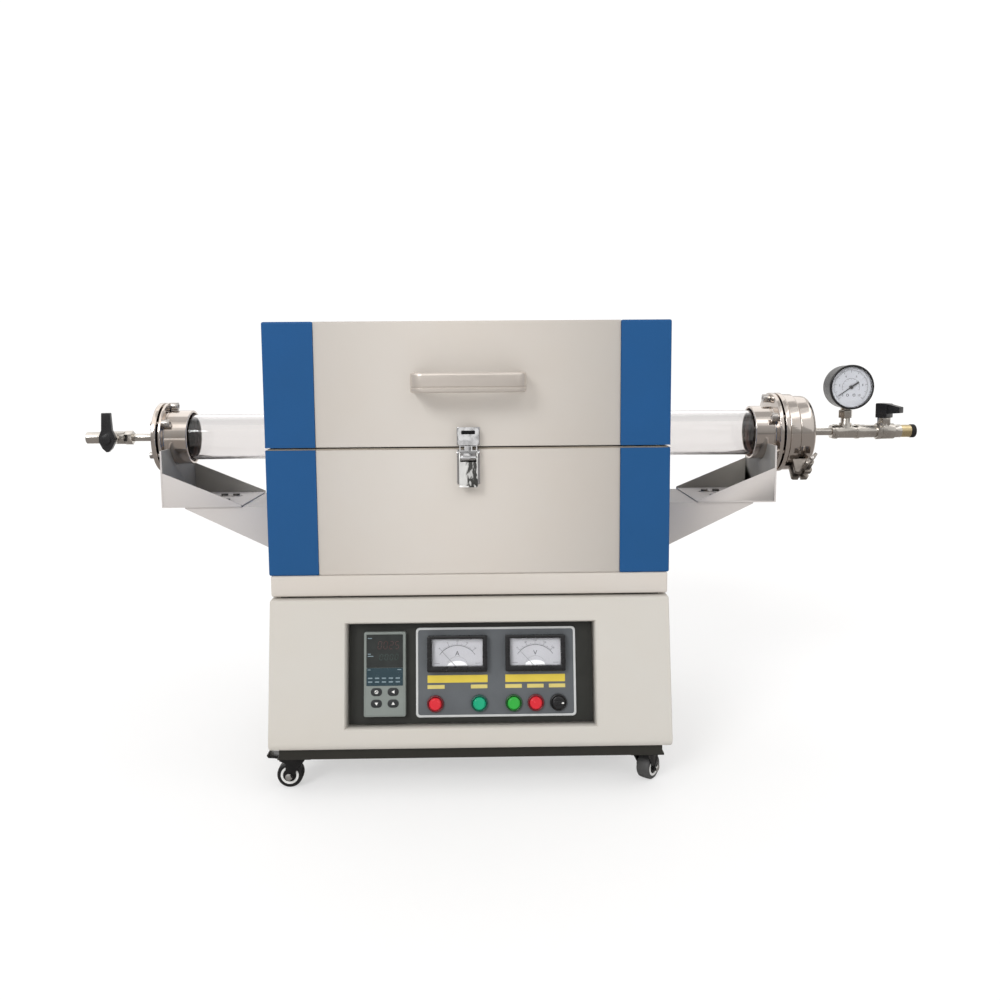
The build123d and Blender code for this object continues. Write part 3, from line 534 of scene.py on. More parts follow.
def tube_path(k, pts, r, n=8, mat=0, xf=BM, caps=True):
    """Round bar along a path of points."""
    P = [Vector(p) for p in pts]
    bm = bmesh.new()
    rings = []
    up = None
    for i, p in enumerate(P):
        if i == 0:
            t = (P[1] - P[0]).normalized()
        elif i == len(P) - 1:
            t = (P[-1] - P[-2]).normalized()
        else:
            t = ((P[i] - P[i - 1]).normalized() + (P[i + 1] - P[i]).normalized()).normalized()
        if up is None:
            up = Vector((0, 0, 1)) if abs(t.z) < 0.9 else Vector((0, 1, 0))
        b = t.cross(up).normalized()
        up = b.cross(t).normalized()
        rings.append([bm.verts.new(p + (b * math.cos(2 * math.pi * j / n) + up * math.sin(2 * math.pi * j / n)) * r) for j in range(n)])
    for a, b in zip(rings, rings[1:]):
        for j in range(n):
            bm.faces.new((a[j], a[(j + 1) % n], b[(j + 1) % n], b[j]))
    if caps:
        bm.faces.new(rings[0])
        bm.faces.new(rings[-1])
    k.take(bm, mat, xf)


def sweep(k, path, sect, mat=0, xf=BM):
    """Section of (outward, z) points along a flat x-y path."""
    bm = bmesh.new()
    rings = []
    for i, p in enumerate(path):
        p = Vector(p)
        if i == 0:
            t = Vector(path[1]) - p
        elif i == len(path) - 1:
            t = p - Vector(path[-2])
        else:
            t = (p - Vector(path[i - 1])).normalized() + (Vector(path[i + 1]) - p).normalized()
        t.normalize()
        nrm = Vector((t.y, -t.x))
        if 0 < i < len(path) - 1:
            c = (p - Vector(path[i - 1])).normalized().dot(t)
            nrm = nrm / max(c, 0.5)
        rings.append([bm.verts.new((p.x + nrm.x * a, p.y + nrm.y * a, z)) for a, z in sect])
    n = len(sect)
    for a, b in zip(rings, rings[1:]):
        for j in range(n):
            bm.faces.new((a[j], a[(j + 1) % n], b[(j + 1) % n], b[j]))
    bm.faces.new(rings[0])
    bm.faces.new(rings[-1])
    k.take(bm, mat, xf)


def words(k, text, x, y, size, d0, d1, mat=0, xf=PTM, rot=0.0):
    """Plain numbers or a unit letter as raised print."""
    cu = bpy.data.curves.new("tmptext", "FONT")
    cu.body = text
    cu.size = size
    cu.align_x = "CENTER"
    cu.align_y = "CENTER"
    cu.resolution_u = 3
    cu.extrude = abs(d1 - d0) / 2
    ob = bpy.data.objects.new("tmptext", cu)
    scene.collection.objects.link(ob)
    bpy.context.view_layer.update()
    me = bpy.data.meshes.new_from_object(ob.evaluated_get(bpy.context.evaluated_depsgraph_get()))
    bpy.data.objects.remove(ob)
    bpy.data.curves.remove(cu)
    bm = bmesh.new()
    bm.from_mesh(me)
    bpy.data.meshes.remove(me)
    bmesh.ops.remove_doubles(bm, verts=bm.verts, dist=1e-5)
    k.take(bm, mat, xf @ Matrix.Translation((x, y, (d0 + d1) / 2)) @ Matrix.Rotation(rot, 4, "Z"))


def bar(k, x0, y0, x1, y1, w, d0, d1, mat=0, xf=PTM):
    a, b = Vector((x0, y0)), Vector((x1, y1))
    t = (b - a).normalized() * 1.0
    n = Vector((-t.y, t.x)) * w / 2
    prism(k, [tuple(a - n), tuple(b - n), tuple(b + n), tuple(a + n)], d0, d1, mat, xf)


def arc_strip(k, cx_, cy_, r, w, a0, a1, d0, d1, mat=0, xf=PTM, n=28):
    pts = []
    for i in range(n + 1):
        a = math.radians(a0 + (a1 - a0) * i / n)
        pts.append((cx_ + (r + w / 2) * math.cos(a), cy_ + (r + w / 2) * math.sin(a)))
    for i in range(n, -1, -1):
        a = math.radians(a0 + (a1 - a0) * i / n)
        pts.append((cx_ + (r - w / 2) * math.cos(a), cy_ + (r - w / 2) * math.sin(a)))
    bm = bmesh.new()
    lo_ = [bm.verts.new((x, y, d0)) for x, y in pts]
    hi_ = [bm.verts.new((x, y, d1)) for x, y in pts]
    m = len(pts)
    for i in range(n):
        bm.faces.new((lo_[i], lo_[i + 1], lo_[m - 2 - i], lo_[m - 1 - i]))
        bm.faces.new((hi_[i], hi_[m - 1 - i], hi_[m - 2 - i], hi_[i + 1]))
    for i in range(m):
        bm.faces.new((lo_[i], hi_[i], hi_[(i + 1) % m], lo_[(i + 1) % m]))
    k.take(bm, mat, xf)


def cad_bm(node, keep=None):
    """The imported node's mesh, welded and with flat faces joined, in body mm."""
    bm = bmesh.new()
    bm.from_mesh(CAD[node].data)
    bmesh.ops.transform(bm, matrix=BM.inverted(), verts=bm.verts)
    bmesh.ops.remove_doubles(bm, verts=bm.verts, dist=1e-3)
    if keep is not None:
        seen, drop = set(), []
        for v in bm.verts:
            if v in seen:
                continue
            stack, island = [v], []
            seen.add(v)
            while stack:
                q = stack.pop()
                island.append(q)
                for e in q.link_edges:
                    o = e.other_vert(q)
                    if o not in seen:
                        seen.add(o)
                        stack.append(o)
            lo_ = Vector((min(q.co.x for q in island), min(q.co.y for q in island), min(q.co.z for q in island)))
            hi_ = Vector((max(q.co.x for q in island), max(q.co.y for q in island), max(q.co.z for q in island)))
            if not keep(lo_, hi_):
                drop += island
        bmesh.ops.delete(bm, geom=drop, context="VERTS")
    bmesh.ops.dissolve_limit(bm, angle_limit=math.radians(0.6), use_dissolve_boundaries=False, verts=bm.verts, edges=bm.edges)
    bmesh.ops.recalc_face_normals(bm, faces=bm.faces)
    return bm


def hard(bm, deg=35.0):
    return [e for e in bm.edges if e.is_manifold and e.calc_face_angle(0) > math.radians(deg)]


def rounded(node, body, mats, w=0.4, seg=2, name=None, deg=35.0, keep=None, sharp=40.0, face_mat=None):
    """The CAD node with its hard edges eased."""
    k = Kit(*mats)
    bm = cad_bm(node, keep)
    bevel_edges(bm, hard(bm, deg), w, seg)
    k.take(bm, 0, BM)
    if face_mat:
        inv = BM.inverted()
        for f in k.bm.faces:
            f.material_index = face_mat(inv @ f.calc_center_median(), f.normal)
    return k.done(name or node + "_finish", body, (node,), sharp)


def coat(node, *mats):
    """A CAD node that keeps its shape gets its finish."""
    o = CAD[node]
    o.data.materials.clear()
    for q in mats:
        o.data.materials.append(q)

# ------------------------------------------------------------------ cabinet
W2, YF, YR = 230.0, -190.0, 190.0
T = 1.6
REC = 18.0
OP = (-143.5, 144.5, 25.5, 146.0)


def yz_profile_shell(k, prof, xs, hole=None, mat=0, edge_r=1.6, caps=True, thick=1.4):
    """Sheet folded along an open (Y, Z) outline, from xs[0] to xs[-1], with a window left out and rounded side folds."""
    bm = bmesh.new()
    grid = [[bm.verts.new((x, p[0], p[1])) for p in prof] for x in xs]
    for i in range(len(xs) - 1):
        for j in range(len(prof) - 1):
            if hole and hole(i, j):
                continue
            bm.faces.new((grid[i][j], grid[i + 1][j], grid[i + 1][j + 1], grid[i][j + 1]))
    rim = []
    if caps:
        for row in (grid[0], grid[-1]):
            bm.faces.new(row)
        bmesh.ops.recalc_face_normals(bm, faces=bm.faces)
        for row in (grid[0], grid[-1]):
            for a, b in zip(row, row[1:]):
                e = bm.edges.get((a, b))
                if e:
                    rim.append(e)
        bevel_edges(bm, rim, edge_r, 4)
    k.take(bm, mat, BM)


# folded skin: sides, sloped front and top in one, with the tapered recess
k = Kit(M["cabinet"])
s0, s1 = OP[2], OP[3]


def slope(s):
    return (Y_CT + PS.y * s, Z_CT + PS.z * s)


fold = fillet2([(YR - T, Z_CB), (Y_CB, Z_CB), (Y_CT, Z_CT), (YR - T, Z_CT)], [0, 9.0, 3.0, 0], 6, False)
# put the two lines of the opening into the sloped run
pts = []
for a, b in zip(fold, fold[1:]):
    pts.append(a)
    if a[1] < slope(s1)[1] < b[1]:
        pts.append(slope(s1))
        if b[1] > slope(s0)[1]:
            pts.append(slope(s0))
pts.append(fold[-1])
pts = [p for p in pts]
j0 = [i for i, p in enumerate(pts) if abs(p[1] - slope(s1)[1]) < 1e-6][0]
xs = [-229.0, OP[0], OP[1], 229.0]
yz_profile_shell(k, pts, xs, hole=lambda i, j: i == 1 and j == j0, edge_r=1.8)
# well walls: mouth fold and tapered walls
tp = math.tan(math.radians(5)) * REC
loops = []
for d, inset, rr in ((0.0, 0.0, 0.0), (0.5, 0.7, 0.0), (1.4, 1.3, 0.0), (REC - 0.1, tp + 2.0, 0.0)):
    u0, u1, v0, v1 = OP[0] + inset, OP[1] - inset, OP[2] + inset, OP[3] - inset
    loops.append([(u0, v0, d), (u1, v0, d), (u1, v1, d), (u0, v1, d)])
bm = bmesh.new()
rows = [[bm.verts.new(p) for p in lp] for lp in loops]
for a, b in zip(rows, rows[1:]):
    for i in range(4):
        bm.faces.new((a[i], a[(i + 1) % 4], b[(i + 1) % 4], b[i]))
for f in bm.faces:
    f.material_index = 0
bmesh.ops.transform(bm, matrix=PM, verts=bm.verts)
me = bpy.data.meshes.new("tmp")
bm.to_mesh(me)
bm.free()
k.bm.from_mesh(me)
bpy.data.meshes.remove(me)
bmesh.ops.remove_doubles(k.bm, verts=k.bm.verts, dist=2e-5)
bmesh.ops.recalc_face_normals(k.bm, faces=k.bm.faces)
skin = k.done("cabinet_skin", "frame", ("cabinet_front",), 28.0)
md = skin.modifiers.new("sheet", "SOLIDIFY")
md.thickness = 0.0012
md.offset = -1.0

k = Kit(M["cabinet"], M["zinc"])
# rear sheet alone, cut free before welding; the other sheets are the skin's folds
bm = bmesh.new()
bm.from_mesh(CAD["cabinet_panels"].data)
bmesh.ops.transform(bm, matrix=BM.inverted(), verts=bm.verts)
bm.normal_update()
bmesh.ops.delete(bm, geom=[f for f in bm.faces if min(v.co.y for v in f.verts) < 188.38 or (f.normal.y > 0.9 and f.calc_center_median().y < 189.2)], context="FACES")
bmesh.ops.remove_doubles(bm, verts=bm.verts, dist=1e-3)
bmesh.ops.dissolve_limit(bm, angle_limit=math.radians(0.6), use_dissolve_boundaries=False, verts=bm.verts, edges=bm.edges)
bmesh.ops.recalc_face_normals(bm, faces=bm.faces)
bevel_edges(bm, [e for e in hard(bm) if (e.verts[0].co.y > 189.5 and e.verts[1].co.y > 189.5)], 0.5, 2)
k.take(bm, 0, BM)
for x in (-215, -75, 75, 215):
    for z in (64, 209):
        lathe(k, fillet2([(190.0, 0.0), (190.0, 4.4), (191.6, 4.2), (192.3, 2.4), (192.4, 0.0)], [0, 0, 0.8, 0.6, 0], 3, False), 24, 1, about_y(x, z), closed=False)
k.done("cabinet_back_and_base", "frame", ("cabinet_panels",), 35.0)

# base frame with rounded bars, caster plates and their king pins
rounded("base_frame", "frame", [M["frame"]], 0.7, 2)

# chassis slab: a folded tray turned down over its foot ring
k = Kit(M["beige"], M["frame"])
block(k, -228.5, 228.5, YF, YR, 222.8, 247.7, 2.6, 4, 0)
# the foot ring takes the black frame coat, darkening the gap under the tray: painted shade
block(k, -219, 219, YF + 8, YR - 8, 220.3, 223.0, 0.3, 1, 1)
k.done("chassis_tray", "frame", ("chassis_slab",), 28.0)

# ------------------------------------------------------------------ heated body
XB = W2 - 57.2


def body_sheet(name, body, z_open, z_deck, node):
    """Front, deck and rear folded from one sheet, with a short hem at the split."""
    k = Kit(M["beige"])
    s = 1 if z_deck > z_open else -1
    prof = [(YF + 9, z_open + 0.0), (YF, z_open), (YF, z_deck), (YR, z_deck), (YR, z_open), (YR - 9, z_open)]
    prof = fillet2(prof, [0, 1.3, 2.4, 2.4, 1.3, 0], 4, False)
    yz_profile_shell(k, prof, [-XB + 0.35, XB - 0.35], caps=False)
    ob = k.done(name, body, (node,), 28.0)
    md = ob.modifiers.new("sheet", "SOLIDIFY")
    md.thickness = 0.0012
    md.offset = -1.0
    return ob


for nm, body, zo, zd, node in (("lid_sheet", "lid", 395.0, 536.3, "lid_shell"), ("lower_sheet", "frame", 392.0, 247.7, "lower_shell")):
    body_sheet(nm, body, zo, zd, node)


def end_cover(name, body, z0, z1, lid, node):
    k = Kit(M["blue"])
    bm = cad_bm(node)
    # ease the outside corners only, wide on the folds and narrow next to the beige sheet
    def on(v, n):
        c = v.co
        f = []
        if abs(abs(c.x) - W2) < 0.05:
            f.append("x")
        if abs(abs(c.x) - XB) < 0.05:
            f.append("i")
        if abs(abs(c.y) - 190.6) < 0.05:
            f.append("y")
        if abs(c.z - (z1 if lid else z0)) < 0.05:
            f.append("z")
        if abs(c.z - (z0 if lid else z1)) < 0.05:
            f.append("s")
        return f
    wide, slim = [], []
    for e in hard(bm, 60):
        a = set(on(e.verts[0], 0)) & set(on(e.verts[1], 0))
        if len(a & {"x", "y", "z"}) >= 2:
            wide.append(e)
        elif "i" in a and ("y" in a or "z" in a):
            slim.append(e)
        elif "s" in a and ("x" in a or "y" in a):
            slim.append(e)
    bevel_edges(bm, wide, 2.2, 4)
    bevel_edges(bm, slim, 0.7, 2)
    k.take(bm, 0, BM)
    return k.done(name, body, (node,), 28.0)


end_cover("lid_end_cover_pair", "lid", 395.0, 536.3, True, "lid_end_covers")
end_cover("lower_end_cover_pair", "frame", 247.7, 392.0, False, "lower_end_covers")
# rope seal laid along the split, just inside the sheets; it darkens the split line as painted shade
k = Kit(M["rope"])
for y in (-188.1, 184.3):
    block(k, -227.6, 227.6, y, y + 3.8, 390.8, 393.5, 0.8, 2, 0)
for x in (-227.6, 223.8):
    for y0, y1 in ((-184.2, -35.5), (35.5, 184.2)):
        block(k, x, x + 3.8, y0, y1, 390.8, 393.5, 0.8, 2, 0)
k.done("split_rope_seal", "frame")
coat("lower_insulation", M["fibre"])
coat("lid_insulation", M["fibre"])
coat("lower_heater", M["ceramic"])
coat("lid_heater", M["ceramic"])
coat("thermocouple", M["tc"])
coat("fibre_plugs", M["fibre"])

# heating wire: one serpentine of close coils in each half
for nm, body, lid in (("lower_heating_wire", "frame", False), ("lid_heating_wire", "lid", True)):
    k = Kit(M["wire"])
    rw = 37.0
    angs = [14 + i * 15.2 for i in range(11)]
    for q, a in enumerate(angs):
        an = math.radians(a if lid else -a)
        y, z = rw * math.cos(an), Z_AX + rw * math.sin(an)
        tube_path(k, [(-143, y, z), (143, y, z)], 1.1, 6)
        for i in range(60):
            x = -141.6 + i * 4.8
            lathe(k, [(x - 0.8, 1.0), (x - 0.8, 1.45), (x + 0.8, 1.45), (x + 0.8, 1.0)], 8, 0, about_x(y, z))
        if q + 1 < len(angs):
            x = 143 if q % 2 == 0 else -143
            arc = []
            for i in range(5):
                b = math.radians((a + 15.2 * i / 4) * (1 if lid else -1))
                arc.append((x, rw * math.cos(b), Z_AX + rw * math.sin(b)))
            tube_path(k, arc, 1.1, 6)
    k.done(nm, body)

# ------------------------------------------------------------------ pull handle: drawn profile bent to a shallow U
k = Kit(M["handle"])
cx0, cx1, yo = -63.0, 65.0, YF - 38.0
path = fillet2([(cx0 + 3.75, YF), (cx0 + 3.75, yo + 3.75), (cx1 - 3.75, yo + 3.75), (cx1 - 3.75, YF)], [0, 11.0, 11.0, 0], 10, False)
sec = [(-3.75, 459.6), (-3.75, 479.0), (3.75, 479.0), (3.75, 463.9), (2.9, 463.3), (2.9, 462.2), (3.75, 461.6), (3.75, 457.0), (-1.2, 457.0), (-3.0, 457.8)]
sec = fillet2(sec, [0.8, 2.2, 3.4, 0.35, 0.3, 0.3, 0.35, 1.8, 0.6, 0.6], 4)
sec = [(a * 1.0, z) for a, z in sec]
sweep(k, path, sec)
k.done("lid_pull_handle", "lid", ("lid_handle",), 30.0)

# ------------------------------------------------------------------ toggle latch, bright plated pressings
k = Kit(M["chrome"], M["zinc"], M["chromed"])
bm = cad_bm("latch_base")
bevel_edges(bm, hard(bm, 50), 0.35, 2)
k.take(bm, 0, BM)
# dark pad behind the loop's lower openings: painted shade
block(k, -9.0, 9.0, -192.9, -191.5, 384.5, 391.3, 0.3, 1, 2)
for z in (358.5,):
    for x in (-7.0, 7.0):
        lathe(k, fillet2([(-191.6, 0.0), (-191.6, 2.6), (-192.5, 2.2), (-192.8, 0.0)], [0, 0, 0.5, 0], 3, False), 20, 1, about_y(x, z), closed=False)
k.done("latch_base_pressing", "frame", ("latch_base",), 32.0)
# the latch lever wears the plating with the painted reflection
rounded("latch_lever", "latch_lever", [M["lever"]], 0.55, 3, sharp=30.0)
k = Kit(M["chrome"])
LT = BM @ Matrix(((1, 0, 0, 0), (0, 0, -1, 0), (0, 1, 0, 0), (0, 0, 0, 1)))      # x right, y up, z to the front
frame_ring(k, rrect(-12.0, 12.0, 396.6, 417.4, 4.4, 6), rrect(-7.8, 7.8, 409.5, 413.7, 0.9, 6), 197.4, 199.0, 0, LT, 0.35)
for sg in (-1, 1):
    a_, b_ = sorted((0.0, sg * 10.0))
    c_, d_ = sorted((sg * 4.4, sg * 8.8))
    frame_ring(k, rrect(a_, b_, 390.4, 397.2, 0.3, 3), rrect(c_, d_, 391.3, 396.0, 0.3, 3), 197.4, 199.0, 0, LT, 0.15)
block(k, -8.6, 8.6, -199.0, -197.4, 383.0, 390.8, 0.3, 2, 0)
lathe(k, fillet2([(-8.6, 1.25), (-8.6, 2.6), (8.6, 2.6), (8.6, 1.25)], [0, 0.4, 0.4, 0], 3), 32, 0, about_x(-198.2, 382.5))
k.done("latch_loop_pressing", "latch_loop", ("latch_loop",), 32.0)
k = Kit(M["chrome"], M["zinc"], M["chromed"])
bm = cad_bm("latch_keeper")
bevel_edges(bm, hard(bm, 50), 0.35, 2)
k.take(bm, 0, BM)
# dark pad behind the loop's upper window: painted shade
block(k, -8.6, 8.6, -193.0, -191.4, 408.8, 414.6, 0.3, 1, 2)
for x in (-9.4, 9.4):
    lathe(k, fillet2([(-191.5, 0.0), (-191.5, 2.3), (-192.3, 2.0), (-192.6, 0.0)], [0, 0, 0.5, 0], 3, False), 20, 1, about_y(x, 411.5), closed=False)
k.done("latch_keeper_pressing", "lid", ("latch_keeper",), 32.0)

# hinges at the back with their countersunk screws
k = Kit(M["zinc"])
for X in (-140.0, 140.0):
    for dx in (-15, 15):
        for z in (366.0, 379.0):
            lathe(k, fillet2([(191.9, 0.0), (191.9, 3.4), (192.3, 3.2), (192.6, 0.0)], [0, 0, 0.2, 0], 2, False), 24, 0, about_y(X + dx, z), closed=False)
k.done("lower_hinge_screws", "frame")
k = Kit(M["zinc"])
for X in (-140.0, 140.0):
    for dx in (-15, 15):
        for z in (407.0, 420.0):
            lathe(k, fillet2([(191.9, 0.0), (191.9, 3.4), (192.3, 3.2), (192.6, 0.0)], [0, 0, 0.2, 0], 2, False), 24, 0, about_y(X + dx, z), closed=False)
k.done("lid_hinge_screws", "lid")
rounded("lower_hinges", "frame", [M["zinc"]], 0.3, 2)
rounded("lid_hinges", "lid", [M["zinc"]], 0.3, 2)

# ------------------------------------------------------------------ control panel
rounded("panel_plate", "frame", [M["plate"]], 0.0, 1)
k = Kit(M["mpanel"], M["outline"], M["yellow"], M["label"])
bm = cad_bm("meter_panel")
k.take(bm, 0, BM)
DP = REC - 1.5
n_ = 6
frame_ring(k, rrect(-63.1, 121.5, 33.9, 135.7, 4.5, n_), rrect(-60.6, 119.0, 36.4, 133.2, 3.0, n_), DP - 0.5, DP + 0.05, 1, PM, 0.18)
for a, b in ((-49.9, 19.5), (39.9, 109.0)):
    prism(k, rrect(a, b, 88.3, 96.8, 0.5, 3), DP - 0.25, DP + 0.02, 2, PM, 0.08, 1)
for a, b in ((-49.9, -30.2), (0.1, 19.2), (39.8, 59.0), (65.1, 84.2), (90.2, 109.1)):
    prism(k, rrect(a, b, 99.3, 103.6, 0.4, 3), DP - 0.22, DP + 0.02, 3, PM, 0.08, 1)
k.done("meter_panel_print", "frame", ("meter_panel",), 35.0)

# temperature controller
k = Kit(M["ctl"], M["screen"], M["teal"], M["screen_red"], M["screen_green"], M["mark"], M["keydark"], M["white"], M["bezel"])
prism(k, rrect(-122.5, -74.5, 37.5, 133.5, 2.0, 5), 10.0, REC - 0.1, 0, PM, 1.1, 3)
prism(k, rrect(-120.4, -76.6, 39.4, 131.6, 1.2, 4), 9.7, 10.1, 0, PM, 0.2, 1)
prism(k, rrect(-119.4, -77.6, 40.4, 78.0, 0.6, 3), 9.3, 9.75, 1, PM, 0.15, 1)
prism(k, rrect(-119.4, -77.6, 78.3, 98.4, 0.6, 3), 9.3, 9.75, 2, PM, 0.15, 1)
SEG = {"0": "abcdef", "1": "bc", "2": "abged", "3": "abgcd", "4": "fgbc", "5": "afgcd", "6": "afgedc", "7": "abc", "8": "abcdefg", "9": "abcdfg", " ": ""}


def digit(k, ch, x, y, w, h, t, d0, d1, mat):
    """Seven-segment digit, x right and y up on the panel face."""
    sl = 0.12
    sg = {"a": (x, y + h / 2, x + w, y + h / 2), "g": (x, y, x + w, y), "d": (x, y - h / 2, x + w, y - h / 2),
          "f": (x, y + h / 2, x, y), "b": (x + w, y + h / 2, x + w, y), "e": (x, y, x, y - h / 2), "c": (x + w, y, x + w, y - h / 2)}
    for s in SEG[ch]:
        x0, y0, x1, y1 = sg[s]
        x0 += (y0 - y) * sl
        x1 += (y1 - y) * sl
        v = Vector((x1 - x0, y1 - y0)).normalized() * (t * 0.6)
        bar(k, x0 + v.x, y0 + v.y, x1 - v.x, y1 - v.y, t, d0, d1, mat)


for i, ch in enumerate("0025"):
    digit(k, ch, -106.0 + i * 6.6, -52.5, 3.9, 8.2, 0.9, -9.32, -9.22, 3)
for i, ch in enumerate("0000"):
    digit(k, ch, -104.0 + i * 5.8, -66.0, 3.3, 6.4, 0.7, -9.32, -9.22, 4)
for u, v, wd in ((-118, 44.2, 5.0), (-118, 62.0, 3.5), (-118, 64.5, 6.5), (-118, 79.8, 3.4), (-84, 79.8, 4.4)):
    prism(k, rrect(u, u + wd, v, v + 0.9, 0.2, 2), 9.2, 9.32, 5, PM)
for row, v in enumerate((89.0, 93.2)):
    for i in range(5):
        prism(k, rrect(-117.6 + i * 7.9, -112.6 + i * 7.9, v, v + 1.5, 0.4, 3), 9.2, 9.32, 5, PM)
KEYS = ((-107.9, 105.3), (-88.8, 105.3), (-107.9, 118.4), (-88.8, 118.4))
for q, (u, s) in enumerate(KEYS):
    pts = fillet2(rrect(u - 6.4, u + 6.4, s - 4.6, s + 4.6, 4.3, 8), 0)
    prism(k, pts, 9.3, 9.9, 6, PM, 0.35, 3)
    x, y = u, -s
    if q == 0:
        frame_ring(k, circle(x, y, 2.1, 20), circle(x, y, 1.5, 20), -9.32, -9.2, 7, PTM)
        bar(k, x - 1.5, y + 1.5, x + 1.5, y - 1.5, 0.6, -9.31, -9.19, 7)
    elif q == 1:
        prism(k, [(x + 1.5, y - 1.9), (x + 1.5, y + 1.9), (x - 1.9, y)], -9.32, -9.2, 7, PTM)
    elif q == 2:
        prism(k, [(x - 2.0, y + 1.3), (x, y - 2.0), (x + 2.0, y + 1.3)], -9.32, -9.2, 7, PTM)
    else:
        prism(k, [(x - 2.0, y - 1.3), (x + 2.0, y - 1.3), (x, y + 2.0)], -9.32, -9.2, 7, PTM)
block(k, -120.8, -76.2, 39.9, 131.1, REC + 0.1, 92.0, 0.8, 2, 8, PM)
k.done("temperature_controller_face", "frame", ("temperature_controller",), 35.0)

# meters: stepped cases, cards with scales, movement covers
MET = ((-49.8, 19.4, "A", (0, 5, 10, 15, 20)), (40.2, 109.4, "V", (0, 50, 100, 150, 200)))
k = Kit(M["bezel"])
for a, b, _, _ in MET:
    m = (a + b) / 2
    bo = rrect(a, b, 42.9, 83.9, 1.6, 4)
    bi = rrect(m - 29.3, m + 29.3, 46.3, 77.5, 0.9, 4)
    ring = bmesh.new()
    frame_ring(k, bo, bi, 8.0, DP, 0, PM, 0.7)
    prism(k, rrect(m - 31, m + 31, 45, 82, 0.8, 3), 14.7, DP, 0, PM)
    lathe(k, [(DP, 0.0), (DP, 19.0), (50.0, 19.0), (50.0, 0.0)], 48, 0, PM @ Matrix.Translation((m, 66, 0)), closed=False, r=0)
    ring.free()
    # zero screw under the window
    lathe(k, fillet2([(8.05, 0.0), (7.5, 0.0), (7.5, 1.7), (8.05, 2.0)], [0, 0, 0.4, 0], 3, False), 20, 0, PM @ Matrix.Translation((m, 80.8, 0)), closed=False)
k.done("meter_case_pair", "frame", ("meter_cases",), 30.0)
for a, b, unit, nums in MET:
    m = (a + b) / 2
    k = Kit(M["dial"], M["ink"], M["hump"])
    prism(k, rrect(m - 29.2, m + 29.2, 46.4, 77.4, 0.6, 3), 14.2, 14.7, 0, PM)
    px_, py_ = m, -79.6
    R = 25.2
    arc_strip(k, px_, py_, R, 0.5, 36, 144, -14.22, -14.12, 1)
    arc_strip(k, px_, py_, R - 12.5, 0.18, 30, 150, -14.22, -14.12, 1)
    for i in range(41):
        an = math.radians(133 - 86 * i / 40)
        ln = 3.6 if i % 10 == 0 else (2.6 if i % 5 == 0 else 1.7)
        c, s = math.cos(an), math.sin(an)
        bar(k, px_ + R * c, py_ + R * s, px_ + (R + ln) * c, py_ + (R + ln) * s, 0.34 if i % 10 == 0 else 0.2, -14.22, -14.12, 1)
    for i, v in enumerate(nums):
        an = math.radians(133 - 86 * i / 4)
        rr = R + 5.2
        words(k, str(v), px_ + rr * 0.99 * math.cos(an), py_ + rr * math.sin(an) - 0.2, 2.7, -14.22, -14.10, 1, rot=an - math.pi / 2)
    words(k, unit, px_, -63.6, 7.6, -14.22, -14.10, 1)
    bar(k, m - 26.5, -74.6, m - 20.5, -74.6, 0.35, -14.22, -14.12, 1)
    bar(k, m + 20.5, -74.6, m + 26.5, -74.6, 0.35, -14.22, -14.12, 1)
    # movement cover: low half round at the foot of the card
    pts = [(m + 11.5 * math.cos(math.radians(t)), 77.3 - 5.6 * math.sin(math.radians(t))) for t in range(0, 181, 12)]
    prism(k, pts, 12.4, 14.25, 2, PM, 0.9, 3)
    k.done(("ammeter" if unit == "A" else "voltmeter") + "_card", "frame")
coat("dial_windows", M["window"])
for nd in ("ammeter_needle", "voltmeter_needle"):
    coat(nd, M["thin"])

# push buttons
BTN = (("stop_button_left", -40.8, "red"), ("run_button_left", 9.8, "tgreen"), ("run_button_right", 49.4, "green"), ("stop_button_right", 74.9, "red"))
S_B = 120.4
k = Kit(M["bezel"], M["rred"], M["rteal"], M["rgreen"])
for u, mi in ((-40.8, 1), (9.8, 2), (49.4, 3), (74.9, 1), (100.9, 0)):
    o = PM @ Matrix.Translation((u, S_B, 0))
    lathe(k, fillet2([(DP, 8.0), (DP, 9.8), (13.4, 9.4), (12.9, 8.5), (13.4, 7.65), (DP + 2, 7.65)], [0, 0.1, 0.7, 0.4, 0.3, 0], 3), 48, mi, o)
    lathe(k, [(DP, 7.65), (DP, 8.0), (42.0, 8.0), (42.0, 7.65)], 40, 0, o)
    lathe(k, [(22.0, 8.0), (22.0, 11.0), (26.0, 11.0), (26.0, 8.0)], 6, 0, o)
k.done("button_bezel_set", "frame", ("button_bezels",), 32.0)
for nd, u, col in BTN:
    k = Kit(M[col])
    o = PM @ Matrix.Translation((u, S_B, 0))
    lathe(k, fillet2([(26.0, 0.0), (26.0, 7.25), (12.2, 7.25), (10.6, 5.8), (10.75, 3.0), (10.85, 0.0)], [0, 0, 0.5, 0.6, 0, 0], 4, False), 56, 0, o, closed=False)
    k.done(nd + "_cap", nd, (nd,), 40.0)
k = Kit(M["black"], M["white"])
o = PM @ Matrix.Translation((100.9, S_B, 0))
lathe(k, fillet2([(38.0, 0.0), (38.0, 7.2), (11.6, 7.2), (11.2, 6.4), (11.2, 0.0)], [0, 0, 0.5, 0.3, 0], 3, False), 48, 0, o, closed=False)
o2 = o @ Matrix.Rotation(math.radians(0), 4, "Z")
prism(k, fillet2([(-6.4, -2.4), (6.4, -2.4), (6.4, 2.4), (-6.4, 2.4)], 2.2, 6), 9.9, 11.3, 0, o2, 0.5, 3)
prism(k, fillet2([(3.4, -0.8), (6.0, -0.8), (6.0, 0.8), (3.4, 0.8)], 0.6, 3), 9.78, 9.95, 1, o2)
k.done("key_switch_knob", "key_switch", ("key_switch",), 35.0)

